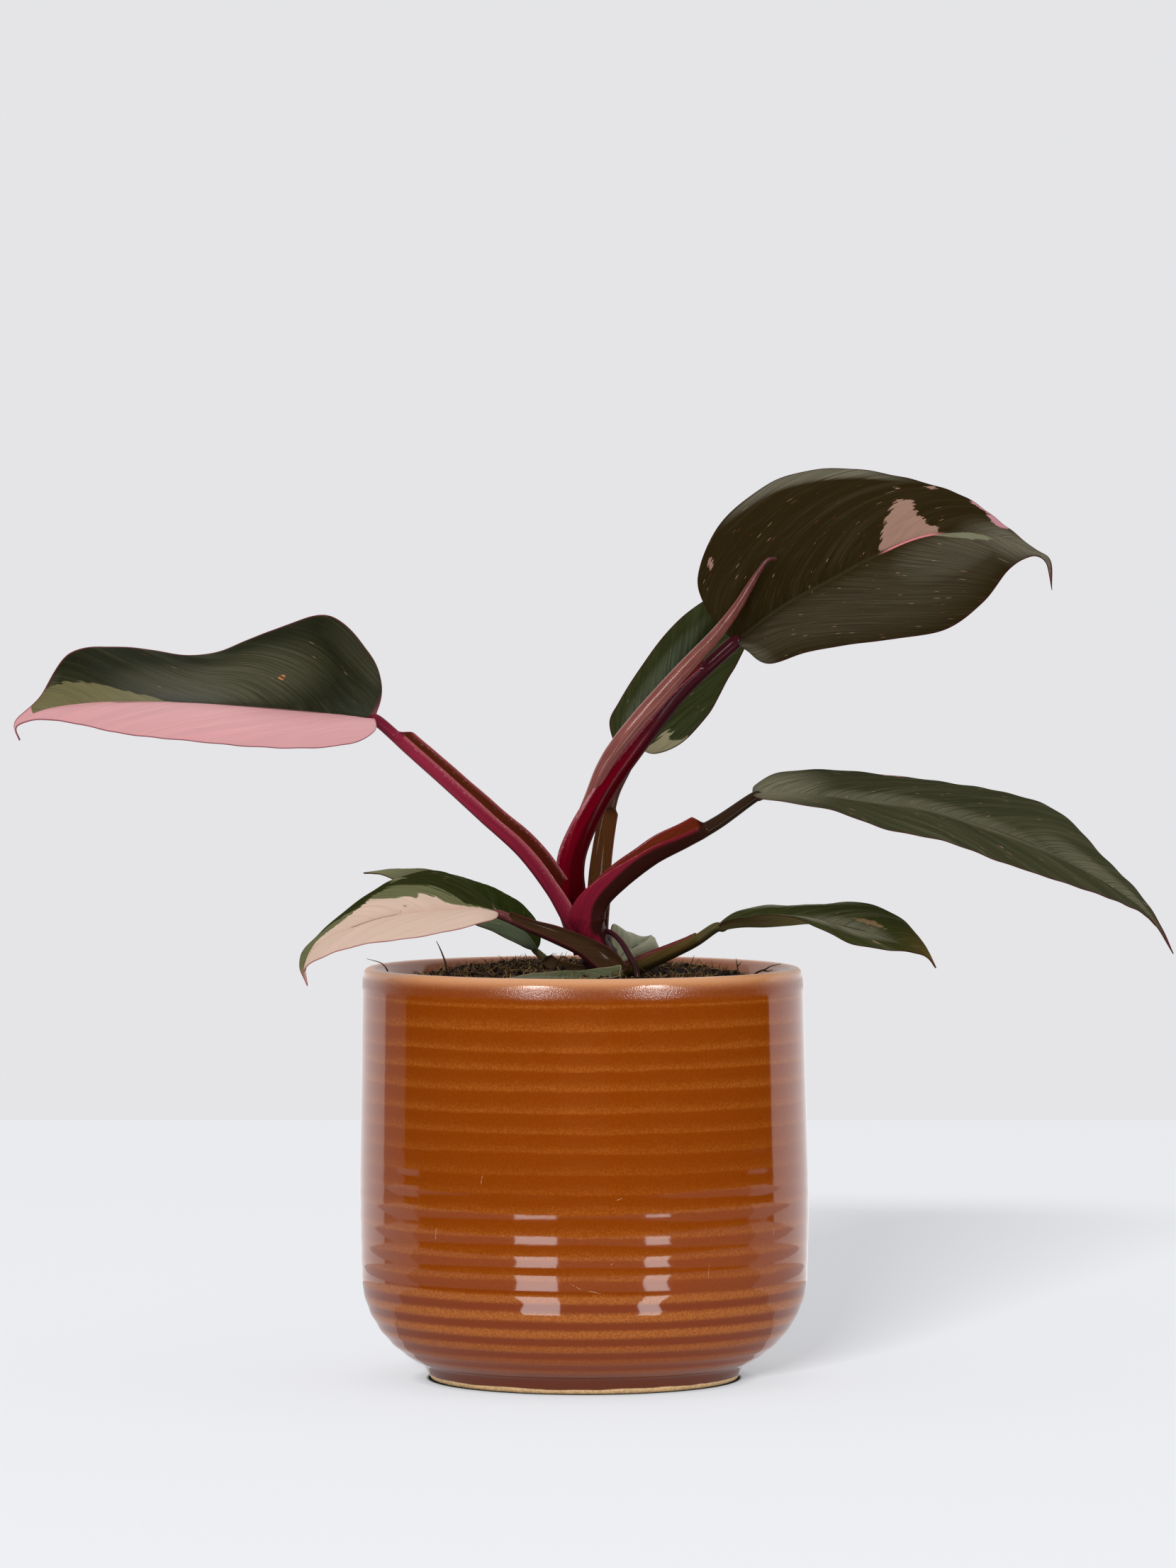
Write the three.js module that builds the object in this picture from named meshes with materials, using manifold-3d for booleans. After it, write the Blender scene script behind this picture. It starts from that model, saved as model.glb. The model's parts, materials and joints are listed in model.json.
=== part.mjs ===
// A variegated philodendron in a ribbed, caramel-glazed ceramic pot.
// Millimetres, +Z up. The origin is the middle of the pot's flat underside, and the pot's front faces -Y.
// Every piece is one closed solid in its own named mesh: the pot, the soil, the stem, each leaf's stalk
// and blade, the rolled new leaf and an aerial root.
import * as THREE from "three";
import { mergeVertices } from "three/addons/utils/BufferGeometryUtils.js";
import Module from "manifold-3d";

const wasm = await Module();
wasm.setup();

// Driving dimensions of the pot
const POT_HEIGHT = 130;
const POT_SIDES = 36; // facets round the axis
const WALL_RADIUS = 69.9; // widest, where the wall meets the rounded shoulder
const TAPER = { from: 50, lean: 1.05 / 80 }; // the wall leans in above this height
const SHOULDER_TOP = 33;
const SHOULDER_ARC = 30.9; // radius of the rounded shoulder
const FOOT = { bottom: 49, top: 51.3, height: 4.4, chamfer: 0.8 };
const LIP = [[1, 1.6], [1.5, 0.5], [2.8, 0], [4.2, 0.4], [4.9, 1.6]]; // in from the wall, down from the rim
const RIB = { first: 122.4, pitch: 6.49, onWall: 15, depth: 0.3 };
const SHOULDER_RIB = { first: 0.045, pitch: 0.185, count: 5 }; // angles down the shoulder arc, radians
const INSIDE = { radius: 64, floor: 8, arc: 25, lipDepth: 5 };

// Clearances and sheet sizes
const GAP = 0.35; // between two pieces that touch on the real plant
const BLADE = { thickness: 0.9, keel: 0.9, perSide: 3, perSideOfSmall: 2, smallWidth: 18 };
const SECTION_SIDES = 8; // stem, rolled leaf and root
const STALK_STEPS = { usual: 11, short: 5 };
const SHEATH = { taper: 0.25, opening: 0.2, cut: 0.02 }; // its taper, and the shares it opens and closes over

// Soil surface
const SOIL = { edge: 122, rise: 5.5, back: 2.5, relief: 0.7, sides: 32 };
const CROWN_DIP = { x: 8, y: -6, depth: 2.2, reach: 15 }; // the soil sinks a little round the stem

const FINISH = {
  pot: { color: 0xa85a1e, roughness: 0.22 },
  soil: { color: 0x2b211a, roughness: 1.0 },
  stem: { color: 0x33221c, roughness: 0.55 },
  darkLeaf: { color: 0x36402c, roughness: 0.42 },
  pinkLeaf: { color: 0xb98188, roughness: 0.45 },
  paleLeaf: { color: 0x8b8d7a, roughness: 0.45 },
  crimsonStalk: { color: 0x7a2338, roughness: 0.38 },
  brownStalk: { color: 0x5a3a26, roughness: 0.42 },
  newLeaf: { color: 0x8c5048, roughness: 0.3 },
  root: { color: 0x4a222c, roughness: 0.5 },
};

// Each blade is a list of stations from its base to its tip. A station gives three points that its surface
// passes through: on the midrib, on the left margin and on the right margin, seen from above the upper
// face and looking to the tip. One point alone is where the three meet. swell is how far the left and
// right halves arch up between midrib and margin, as a part of their width.
// Each stalk follows its path from the crown to the blade. Its section is round above the sheath, and
// below it the stalk is a channel between two wings. faces is the way the channel opens, first at the
// base and then at the end.
const LEAVES = [
  {
    name: "leaf_1",
    finish: FINISH.pinkLeaf,
    swell: [0.1, -0.08],
    stations: [
      [[-66, -2, 208.5]],
      [[-69, -3, 208.5], [-65.5, -13, 205], [-64, 9, 218.5]],
      [[-77, -4, 209.5], [-71.5, -26, 201.5], [-68.5, 15, 229.5]],
      [[-88, -7, 210.5], [-84.5, -34, 200], [-81, 8, 241]],
      [[-103.5, -11, 212], [-103, -39, 200.5], [-99.5, 7, 236]],
      [[-121, -15, 213.5], [-124, -41, 202.5], [-121, 10, 228.5]],
      [[-138.5, -19, 214], [-143.5, -38, 204.5], [-144, 1, 231]],
      [[-155, -21, 213.5], [-158.5, -31, 207.5], [-161, -14, 229.5]],
      [[-169, -22, 211.5], [-170, -25, 208.5], [-170.5, -20, 215.5]],
      [[-177.5, -22, 207], [-177, -23, 206.5], [-178, -21.5, 208]],
      [[-176.5, -21, 202]],
    ],
    stalk: {
      finish: FINISH.crimsonStalk,
      path: [
        [1.5, -0.5, 134], [-3, -1.5, 143], [-9.5, -3, 154.5], [-19, -4, 166.8], [-31, -4, 177.7],
        [-43, -4, 188.5], [-54, -3.5, 198], [-65, -2, 207.7],
      ],
      radius: [3.2, 3, 2.7, 2.5, 2.4, 2.2, 1.9, 1.8],
      sheath: { half: 4.2, rise: 5, end: 0.91 },
      faces: [[0.7, -0.5, 0.5], [0.6, -0.35, 0.7]],
    },
  },
  {
    name: "leaf_2",
    finish: FINISH.darkLeaf,
    swell: [0.12, 0.1],
    stations: [
      [[47.5, -4, 233]],
      [[49, -5, 234], [39.5, 0, 241.5], [51, -9, 230]],
      [[52, -6, 236], [36, 4, 253.5], [58, -17, 226]],
      [[57, -8, 240], [43, 5, 270], [69, -25, 229.5]],
      [[66, -11, 246], [60, 5, 283.5], [82, -30, 232]],
      [[77, -15, 252], [79.5, 2, 287.5], [97, -34, 234]],
      [[90.5, -20, 259.5], [100.5, -3, 284.5], [112.5, -37, 237]],
      [[106.5, -25, 266], [119, -15, 278.5], [124, -38, 245.5]],
      [[125, -29, 267], [131, -26, 269.5], [132, -36, 255.5]],
      [[138, -32, 262], [140, -32, 262], [139, -34, 259.5]],
      [[144, -33, 258.5], [145, -33, 258.5], [143.5, -33, 257.5]],
      [[145.5, -33, 249]],
    ],
    stalk: {
      finish: FINISH.crimsonStalk,
      path: [
        [2, 2, 135], [-2, 2, 148], [-3.5, 1.5, 161], [-0.5, 1, 172], [7, 0, 186], [16.5, -1, 199],
        [29, -2, 215], [39.5, -3, 225.5], [47.2, -4, 232.4],
      ],
      radius: [4, 3.9, 3.7, 3.2, 2.7, 2.5, 2.4, 2.3, 2.1],
      sheath: { half: 3.9, rise: 3.4, end: 0.44 },
      faces: [[-0.6, -0.5, 0.3], [-0.8, -0.3, 0.5]],
    },
  },
  {
    name: "leaf_3",
    finish: FINISH.darkLeaf,
    swell: [0.12, 0.12],
    stations: [
      [[17, 14, 199]],
      [[18, 15, 200.5], [10.5, 9, 199.5], [22.5, 11, 197]],
      [[20.5, 18, 204.5], [8, 10, 207], [31, 11, 200.5]],
      [[25, 24, 211], [11, 13, 213.5], [39.5, 14, 209.5]],
      [[31, 31, 219.5], [17, 19, 223], [45, 20, 219]],
      [[37.5, 39, 228.5], [26, 28, 235], [50, 28, 227.5]],
      [[45, 48, 238], [35.5, 39, 243.5], [54.5, 39, 237.5]],
      [[53, 59, 246.5], [48.5, 54, 250.5], [58.5, 54, 246.5]],
      [[60, 70, 255]],
    ],
    stalk: {
      finish: FINISH.brownStalk,
      path: [
        [4.5, 3, 135], [5, 7, 150], [5.5, 9, 160.5], [7, 10.5, 172], [9.5, 12, 183.5], [13.5, 13, 192],
        [16.8, 14, 198.3],
      ],
      radius: [2.6, 2.3, 2, 1.8, 1.5, 1.4, 1.4],
      sheath: { half: 4, rise: 2.2, end: 0.6 },
      faces: [[-0.3, -1, 0.1], [-0.1, -1, 0.3]],
    },
  },
  {
    name: "leaf_4",
    finish: FINISH.darkLeaf,
    swell: [0.06, 0.07],
    stations: [
      [[53, -10, 184.5]],
      [[57, -11, 185], [54, 1, 187.5], [54.5, -20, 184]],
      [[64, -12, 185], [61.5, 10, 191], [62, -30, 183]],
      [[75, -13, 184], [75.5, 14, 192], [77.5, -37, 180.5]],
      [[89, -15, 183], [94.5, 13, 190.5], [93.5, -41, 175]],
      [[105.5, -17, 181], [115, 9, 188], [112.5, -42, 171]],
      [[122.5, -19, 176], [133.5, 4, 185], [130, -40, 164.5]],
      [[139, -22, 170], [150, -4, 179], [146.5, -37, 159]],
      [[155, -25, 162], [162, -14, 166.5], [162.5, -33, 153.5]],
      [[169.5, -27, 153], [173, -23, 155], [173.5, -30, 148.5]],
      [[178.5, -28, 144.5], [179.5, -27, 145.5], [179, -28, 143.5]],
      [[184, -28, 135.5]],
    ],
    stalk: {
      finish: FINISH.crimsonStalk,
      path: [
        [5.5, -2.5, 130], [3, -4, 138], [2, -5.5, 146], [4.5, -7, 152.5], [12.5, -8, 159], [22, -9, 165.5],
        [32, -9.5, 170.5], [42, -10, 176], [53.4, -10.3, 183.9],
      ],
      radius: [5.4, 5.4, 5.2, 4.2, 3.2, 2.7, 2.3, 1.8, 1.6],
      sheath: { half: 4, rise: 5.2, end: 0.79 },
      faces: [[-0.2, 0.9, 0.5], [-0.5, -0.25, 0.85]],
    },
  },
  {
    name: "leaf_5",
    finish: FINISH.paleLeaf,
    swell: [0.1, 0.12],
    stations: [
      [[-27, -18, 148]],
      [[-29.5, -19, 148.5], [-27.5, -26, 146.5], [-30.5, -10, 151.5]],
      [[-34.5, -21, 149], [-31.5, -34, 145.5], [-36, -4, 155.5]],
      [[-42, -24, 149], [-40.5, -42, 143.5], [-45, -5, 160.5]],
      [[-51.5, -28, 148.5], [-52.5, -47, 141.5], [-57.5, -11, 159]],
      [[-62.5, -32, 147], [-65.5, -49, 140], [-69, -20, 153]],
      [[-73.5, -35, 143.5], [-77, -46, 137], [-80, -29, 144.5]],
      [[-82, -37, 139.5], [-84.5, -42, 133.5], [-87, -35, 137.5]],
      [[-86.5, -38, 133], [-87, -38, 130.5], [-88.5, -37, 132.5]],
      [[-86, -37, 126]],
    ],
    stalk: {
      finish: FINISH.brownStalk,
      path: [
        [8, -3, 128.5], [4, -5.5, 132], [-2, -8, 136], [-9, -11, 139.5], [-17.5, -14, 143],
        [-26.3, -18, 147.4],
      ],
      radius: [2.4, 2.2, 2, 1.8, 1.5, 1.4],
      sheath: { half: 4.2, rise: 2.2, end: 0.78 },
      faces: [[-0.1, -0.8, 0.7], [0.1, -0.7, 0.8]],
    },
  },
  {
    name: "leaf_6",
    finish: FINISH.darkLeaf,
    swell: [0.12, 0.12],
    stations: [
      [[-15, 14, 134.5]],
      [[-16, 15, 136.5], [-17, 7, 135], [-14, 21, 137.5]],
      [[-18.5, 18, 139.5], [-21, 2, 137], [-15, 30, 142]],
      [[-24, 22, 144.5], [-28, 3, 140.5], [-19.5, 37, 147.5]],
      [[-31.5, 27, 150], [-38, 10, 144.5], [-27.5, 41, 152]],
      [[-40.5, 31, 154], [-48.5, 16, 151], [-38.5, 42, 156]],
      [[-51, 35, 156.5], [-57.5, 26, 155], [-51.5, 42, 159]],
      [[-61, 38, 158], [-65, 34, 157.5], [-62.5, 41, 159]],
      [[-71, 39, 158]],
    ],
    stalk: {
      finish: FINISH.brownStalk,
      path: [[5.5, 2.5, 126.5], [0.5, 5.5, 127], [-5, 9, 128], [-10, 11.5, 129.8], [-14.8, 14, 133.8]],
      radius: [2, 1.9, 1.7, 1.4, 1.1],
      sheath: { half: 3.2, rise: 1.4, end: 0.86 },
      faces: [[0.1, -0.7, 0.7], [0, -0.6, 0.8]],
    },
  },
  {
    name: "leaf_7",
    finish: FINISH.darkLeaf,
    swell: [0.08, 0.05],
    stations: [
      [[42, -8, 143]],
      [[45.5, -9, 144], [43.5, -1, 144.5], [44, -15, 145]],
      [[50.5, -10, 144.5], [49, 4, 147.5], [49.5, -21, 146.5]],
      [[57, -12, 144.5], [57.5, 7, 149], [55.5, -27, 147.5]],
      [[64, -14, 145], [66.5, 7, 149], [63.5, -31, 147.5]],
      [[72.5, -16, 145.5], [76.5, 5, 149.5], [72, -34, 144.5]],
      [[82.5, -19, 143.5], [87, 1, 150.5], [83, -35, 139]],
      [[92.5, -22, 141], [98, -7, 147], [94.5, -33, 137]],
      [[101, -24, 138], [104.5, -16, 141], [103, -29, 136]],
      [[107, -25, 135], [108, -23, 135.5], [107.5, -26, 134]],
      [[110, -25, 131]],
    ],
    stalk: {
      finish: FINISH.brownStalk,
      path: [
        [9, -1.5, 127], [13.5, -2.5, 129], [20, -3.7, 131.8], [27.5, -5.3, 135], [35, -6.6, 138.5],
        [41.4, -8, 142.8],
      ],
      radius: [2.4, 2.3, 2.1, 1.9, 1.7, 1.5],
      sheath: { half: 2.8, rise: 2, end: 0.76 },
      faces: [[-0.3, -0.25, 1], [-0.4, -0.2, 1]],
    },
  },
  {
    name: "leaf_8",
    finish: FINISH.paleLeaf,
    swell: [0.1, 0.1],
    stations: [
      [[10.5, 10.5, 130.5]],
      [[11, 12, 131], [9, 9, 132.5], [12.5, 17, 130.5]],
      [[12.5, 16, 132.5], [8.5, 12, 136.5], [15.5, 25, 131]],
      [[15, 23, 134.5], [9, 19, 142.5], [20, 34, 132]],
      [[17.5, 32, 135.5], [14, 30, 139.5], [24, 42, 133]],
      [[20, 41, 136.5], [19, 40, 137.5], [23, 46, 136]],
      [[21.5, 48, 137.5]],
    ],
    stalk: {
      finish: FINISH.brownStalk,
      path: [[7, 2, 126.5], [8.6, 6.5, 128.3], [10.3, 10.2, 130.4]],
      radius: [2, 1.2],
      sheath: { half: 2.4, rise: 1, end: 0.7 },
      faces: [[0, -0.3, 1], [0, -0.3, 1]],
    },
  },
  {
    name: "leaf_9",
    finish: FINISH.paleLeaf,
    swell: [0.12, 0.12],
    stations: [
      [[9.5, -20, 129]],
      [[7.5, -23, 129.5], [9, -27, 128.5], [10.5, -16, 131]],
      [[4, -27, 129.5], [4, -35, 128.5], [7.5, -16, 131.5]],
      [[-2, -31, 129.5], [-3.5, -41, 128], [0, -20, 130.5]],
      [[-8.5, -35, 129.5], [-11.5, -43, 128], [-8.5, -25, 131]],
      [[-15, -38, 129.5], [-18, -43, 128.5], [-16.5, -31, 130.5]],
      [[-23.5, -41, 129]],
    ],
    stalk: {
      finish: FINISH.brownStalk,
      path: [[8, -3, 125.5], [10.8, -11, 127.4], [9.8, -19.3, 128.8]],
      radius: [2, 1.2],
      sheath: { half: 2.4, rise: 1, end: 0.7 },
      faces: [[0, 0, 1], [0, 0, 1]],
    },
  },
];

const STEM = {
  path: [[8, 0, 112], [7.6, 0, 122], [6.2, 0, 130], [3.6, 0.3, 137], [1.4, 0.8, 145], [0.8, 1.2, 151]],
  radius: [6.4, 6.4, 6, 5.2, 4.4, 3.2],
};

// The next leaf, still rolled to a spear, lies along the stalk of leaf 2 and ends in a hooked tip
const NEW_LEAF = {
  path: [
    [-5, -0.8, 165], [-3, -2, 174], [1, -3.6, 183.5], [6.5, -5.2, 194], [13, -7, 203.5],
    [22.5, -8, 214.5],
    [33, -8.8, 226], [42, -9.3, 235.5], [48, -9.8, 243.5], [52, -10.2, 250], [55, -10.8, 255],
    [57.5, -11.4, 258.3], [60.5, -12, 259],
  ],
  radius: [1, 1.6, 2, 2.3, 2.5, 2.6, 2.4, 2.1, 1.7, 1.3, 0.9, 0.7, 0.5],
};

const AERIAL_ROOT = {
  path: [
    [5, -2.5, 142], [8.5, -4, 141], [11.5, -6.5, 138.5], [14.3, -8.8, 134], [16.2, -9.6, 130],
    [17.2, -10, 123],
  ],
  radius: [0.7, 0.7, 0.7, 0.75, 0.8, 0.7],
};

const vector = ([x, y, z]) => new THREE.Vector3(x, y, z);
const smooth = (low, high, x) => THREE.MathUtils.smoothstep(x, low, high);

// A smooth curve through the points, with each point at an equal step of its parameter.
function curveThrough(points) {
  return new THREE.CatmullRomCurve3(points.map(vector), false, "catmullrom", 0.5);
}

// A list of values, read between its entries at a share of its length.
function valueAt(values, share) {
  const place = share * (values.length - 1);
  const index = Math.min(Math.floor(place), values.length - 2);
  return THREE.MathUtils.lerp(values[index], values[index + 1], place - index);
}

// A geometry as a solid: its shared points are joined, and triangles that shrink to a line are dropped.
function solidOf(geometry) {
  const unused = Object.keys(geometry.attributes).filter((name) => name !== "position");
  unused.forEach((name) => geometry.deleteAttribute(name));
  const merged = mergeVertices(geometry, 1e-4);
  const index = merged.index.array;
  const triangles = [];
  for (let i = 0; i < index.length; i += 3) {
    const [a, b, c] = index.subarray(i, i + 3);
    if (a !== b && b !== c && c !== a) triangles.push(a, b, c);
  }
  const vertProperties = merged.attributes.position.array;
  const make = (triVerts) => new wasm.Manifold(new wasm.Mesh({ numProp: 3, vertProperties, triVerts }));
  const solid = make(new Uint32Array(triangles));
  return solid.volume() > 0 ? solid : make(new Uint32Array(triangles.reverse()));
}

function geometryOf(solid) {
  const { vertProperties, triVerts } = solid.getMesh();
  const geometry = new THREE.BufferGeometry();
  geometry.setAttribute("position", new THREE.BufferAttribute(vertProperties, 3));
  geometry.setIndex(new THREE.BufferAttribute(triVerts, 1));
  geometry.computeVertexNormals();
  return geometry;
}

// The solid with its skin moved out along its normals by the gap.
function grown(solid) {
  const geometry = geometryOf(solid);
  const { position, normal } = geometry.attributes;
  for (let i = 0; i < position.count; i++) {
    position.setXYZ(
      i,
      position.getX(i) + GAP * normal.getX(i),
      position.getY(i) + GAP * normal.getY(i),
      position.getZ(i) + GAP * normal.getZ(i),
    );
  }
  return solidOf(geometry);
}

function largestBody(solid) {
  const bodies = solid.decompose();
  return bodies.reduce((best, body) => (body.volume() > best.volume() ? body : best));
}

// A skin through rings of equal point counts, with an end face over the first and the last ring. Each
// ring also gives its points in its own plane, which the end faces are cut from.
function loft(rings) {
  const sides = rings[0].points.length;
  const positions = rings.flatMap(({ points }) => points.flatMap((point) => point.toArray()));
  const index = [];
  for (let r = 0; r + 1 < rings.length; r++) {
    for (let k = 0; k < sides; k++) {
      const a = r * sides + k;
      const b = r * sides + ((k + 1) % sides);
      index.push(a, b, b + sides, a, b + sides, a + sides);
    }
  }
  const cap = (ring) => THREE.ShapeUtils.triangulateShape(ring.flat, []);
  const last = (rings.length - 1) * sides;
  for (const [a, b, c] of cap(rings[0])) index.push(a, b, c);
  for (const [a, b, c] of cap(rings.at(-1))) index.push(last + a, last + c, last + b);
  const geometry = new THREE.BufferGeometry();
  geometry.setAttribute("position", new THREE.Float32BufferAttribute(positions, 3));
  geometry.setIndex(index);
  return geometry;
}

// A flat section, placed square to a curve, with its own +Y turned to the way it faces.
function ringOn(curve, share, faces, flat) {
  const tangent = curve.getTangent(share);
  const across = new THREE.Vector3().crossVectors(faces, tangent).normalize();
  const up = new THREE.Vector3().crossVectors(tangent, across);
  const centre = curve.getPoint(share);
  const points = flat.map(({ x, y }) => centre.clone().addScaledVector(across, x).addScaledVector(up, y));
  return { points, flat };
}

// The section of a stalk. winged goes from 0, where it is round, to 1, where it is an open channel
// between two wings that reach half to each side and rise above the middle.
function stalkSection(radius, winged, half, rise) {
  const outerAngles = [40, 75, 110, 145, 180];
  const innerAngles = [25, 12, 0];
  const onCircle = (degrees) => {
    const angle = THREE.MathUtils.degToRad(degrees);
    return new THREE.Vector2(radius * Math.sin(angle), radius * Math.cos(angle));
  };
  const outerWing = [
    [half, rise],
    [0.95 * half, 0.45 * rise],
    [0.75 * half, -0.25 * radius],
    [0.42 * half, -0.8 * radius],
    [0, -radius],
  ];
  const innerWing = [[0.76 * half, 0.7 * rise], [0.48 * half, 0.12 * radius], [0, -0.1 * radius]];
  const blend = (angles, wing) =>
    angles.map((angle, i) => onCircle(angle).lerp(new THREE.Vector2(...wing[i]), winged));
  const mirrored = (points) => points.slice(0, -1).reverse().map(({ x, y }) => new THREE.Vector2(-x, y));
  const outer = blend(outerAngles, outerWing);
  const inner = blend(innerAngles, innerWing);
  return [...outer, ...mirrored(outer), ...mirrored(inner).reverse(), ...inner.slice().reverse()];
}

// A leaf's stalk: the wings of its sheath clasp the crown, taper a little and stop short at a blunt end.
function stalk({ path, radius, sheath, faces }) {
  const curve = curveThrough(path);
  const steps = path.length < 5 ? STALK_STEPS.short : STALK_STEPS.usual;
  const evenly = Array.from({ length: steps + 1 }, (_, i) => i / steps);
  const kept = evenly.filter((share) => Math.abs(share - sheath.end) > 2 * SHEATH.cut);
  const [closing, closed] = [sheath.end - SHEATH.cut, sheath.end + SHEATH.cut];
  const shares = [...kept, closing, sheath.end, closed];
  const rings = shares
    .sort((a, b) => a - b)
    .map((share) => {
      const winged = (0.6 + 0.4 * smooth(0, SHEATH.opening, share)) * (1 - smooth(closing, closed, share));
      const taper = 1 - SHEATH.taper * (share / sheath.end);
      const thick = valueAt(radius, share);
      const half = Math.max(sheath.half * taper, thick * 1.1);
      const facing = vector(faces[0]).lerp(vector(faces[1]), share);
      return ringOn(curve, share, facing, stalkSection(thick, winged, half, sheath.rise * taper));
    });
  return solidOf(loft(rings));
}

// A round rod of changing radius along a path.
function rod({ path, radius }, steps) {
  const curve = curveThrough(path);
  const rings = Array.from({ length: steps + 1 }, (_, i) => {
    const share = i / steps;
    const size = valueAt(radius, share);
    const flat = Array.from({ length: SECTION_SIDES }, (_, k) => {
      const angle = (2 * Math.PI * k) / SECTION_SIDES;
      return new THREE.Vector2(size * Math.sin(angle), size * Math.cos(angle));
    });
    return ringOn(curve, share, new THREE.Vector3(0.2, -1, 0.1), flat);
  });
  return solidOf(loft(rings));
}

// A leaf blade: two arched halves that meet at the midrib, with a keel under it. The upper and lower
// faces are split into triangles alike, and a rim joins them round the margin.
function blade({ stations, swell }) {
  const line = (which) => curveThrough(stations.map((station) => station[which] ?? station[0]));
  const [rib, left, right] = [0, 1, 2].map(line);
  const steps = 2 * (stations.length - 1);
  const halfWidths = stations.map(([middle, margin]) => vector(middle).distanceTo(vector(margin ?? middle)));
  const widest = Math.max(...halfWidths);
  const perSide = widest < BLADE.smallWidth ? BLADE.perSideOfSmall : BLADE.perSide;
  const across = Array.from({ length: 2 * perSide + 1 }, (_, k) => (k - perSide) / perSide);

  const surface = (share, t) => {
    const middle = rib.getPoint(share);
    const chord = (t < 0 ? left : right).getPoint(share).sub(middle);
    const up = new THREE.Vector3().crossVectors(chord, rib.getTangent(share)).normalize();
    if (t < 0) up.negate();
    const reach = Math.abs(t);
    const arch = 4 * reach * (1 - reach) * swell[t < 0 ? 0 : 1] * chord.length();
    return middle.addScaledVector(chord, reach).addScaledVector(up, arch);
  };
  const middleRow = Array.from({ length: steps + 1 }, (_, i) => across.map((t) => surface(i / steps, t)));
  const normalAt = (i, k) => {
    const row = THREE.MathUtils.clamp(i, 1, steps - 1);
    const along = middleRow[row + 1][k].clone().sub(middleRow[row - 1][k]);
    const last = across.length - 1;
    const over = middleRow[row][Math.min(k + 1, last)].clone().sub(middleRow[row][Math.max(k - 1, 0)]);
    return over.cross(along).normalize();
  };
  const face = (side) =>
    middleRow.map((row, i) =>
      row.map((point, k) => {
        const atEnd = i === 0 || i === steps;
        const onKeel = side < 0 && k === perSide && !atEnd;
        const offset = side * (BLADE.thickness / 2) - (onKeel ? BLADE.keel * (1 - i / steps) : 0);
        return point.clone().addScaledVector(normalAt(i, atEnd ? perSide : k), offset);
      }),
    );
  const [upper, lower] = [face(1), face(-1)];

  const positions = [];
  const index = [];
  const push = (...points) => points.forEach((point) => index.push(positions.push(point.toArray()) - 1));
  const quad = (a, b, c, d) => push(a, b, c, a, c, d);
  const edge = across.length - 1;
  for (let i = 0; i < steps; i++) {
    for (let k = 0; k < edge; k++) {
      quad(upper[i][k], upper[i][k + 1], upper[i + 1][k + 1], upper[i + 1][k]);
      push(lower[i][k], lower[i + 1][k + 1], lower[i][k + 1]);
      push(lower[i][k], lower[i + 1][k], lower[i + 1][k + 1]);
    }
    quad(lower[i][0], upper[i][0], upper[i + 1][0], lower[i + 1][0]);
    quad(upper[i][edge], lower[i][edge], lower[i + 1][edge], upper[i + 1][edge]);
  }
  const geometry = new THREE.BufferGeometry();
  geometry.setAttribute("position", new THREE.Float32BufferAttribute(positions.flat(), 3));
  geometry.setIndex(index);
  return solidOf(geometry);
}

// A solid of revolution from [radius, height] points.
function turned(profile, sides) {
  const geometry = new THREE.LatheGeometry(profile.map(([r, z]) => new THREE.Vector2(r, z)), sides);
  return geometry.rotateX(Math.PI / 2);
}

const wallRadius = (z) => WALL_RADIUS - TAPER.lean * Math.max(0, z - TAPER.from);

// The rounded shoulder, at an angle down from its top, pushed out by an amount.
function onShoulder(angle, out) {
  const reach = SHOULDER_ARC + out;
  return [WALL_RADIUS - SHOULDER_ARC + reach * Math.cos(angle), SHOULDER_TOP - reach * Math.sin(angle)];
}

// The curve from the inner wall to the floor of the pot, from the bottom up, held off by a clearance.
function innerCorner(clear) {
  return [1.45, 1.1, 0.75, 0.4, 0].map((angle) => {
    const reach = INSIDE.arc - clear;
    const [across, down] = [reach * Math.cos(angle), reach * Math.sin(angle)];
    return [INSIDE.radius - INSIDE.arc + across, INSIDE.floor + INSIDE.arc - down];
  });
}

// The pot: a flat foot, a rounded shoulder, a ribbed wall and a rounded lip.
function pot() {
  const { bottom, top, height, chamfer } = FOOT;
  const outside = [[0, 0], [bottom - chamfer, 0], [bottom, chamfer], [top, height]];
  for (let k = SHOULDER_RIB.count; k >= 1; k--) {
    const angle = SHOULDER_RIB.first + SHOULDER_RIB.pitch * k;
    outside.push(onShoulder(angle, RIB.depth), onShoulder(angle - SHOULDER_RIB.pitch / 2, -RIB.depth));
  }
  for (let k = RIB.onWall - 1; k >= 0; k--) {
    const crest = RIB.first - RIB.pitch * k;
    outside.push([wallRadius(crest) + RIB.depth, crest]);
    const valley = crest + RIB.pitch / 2;
    outside.push([wallRadius(valley) - RIB.depth, valley]);
  }
  const lip = LIP.map(([inward, below]) => [WALL_RADIUS - inward, POT_HEIGHT - below]);
  const innerWall = [INSIDE.radius, POT_HEIGHT - INSIDE.lipDepth];
  const inside = [innerWall, ...innerCorner(0).reverse(), [0, INSIDE.floor]];
  return solidOf(turned([...outside, ...lip, ...inside], POT_SIDES));
}

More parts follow.
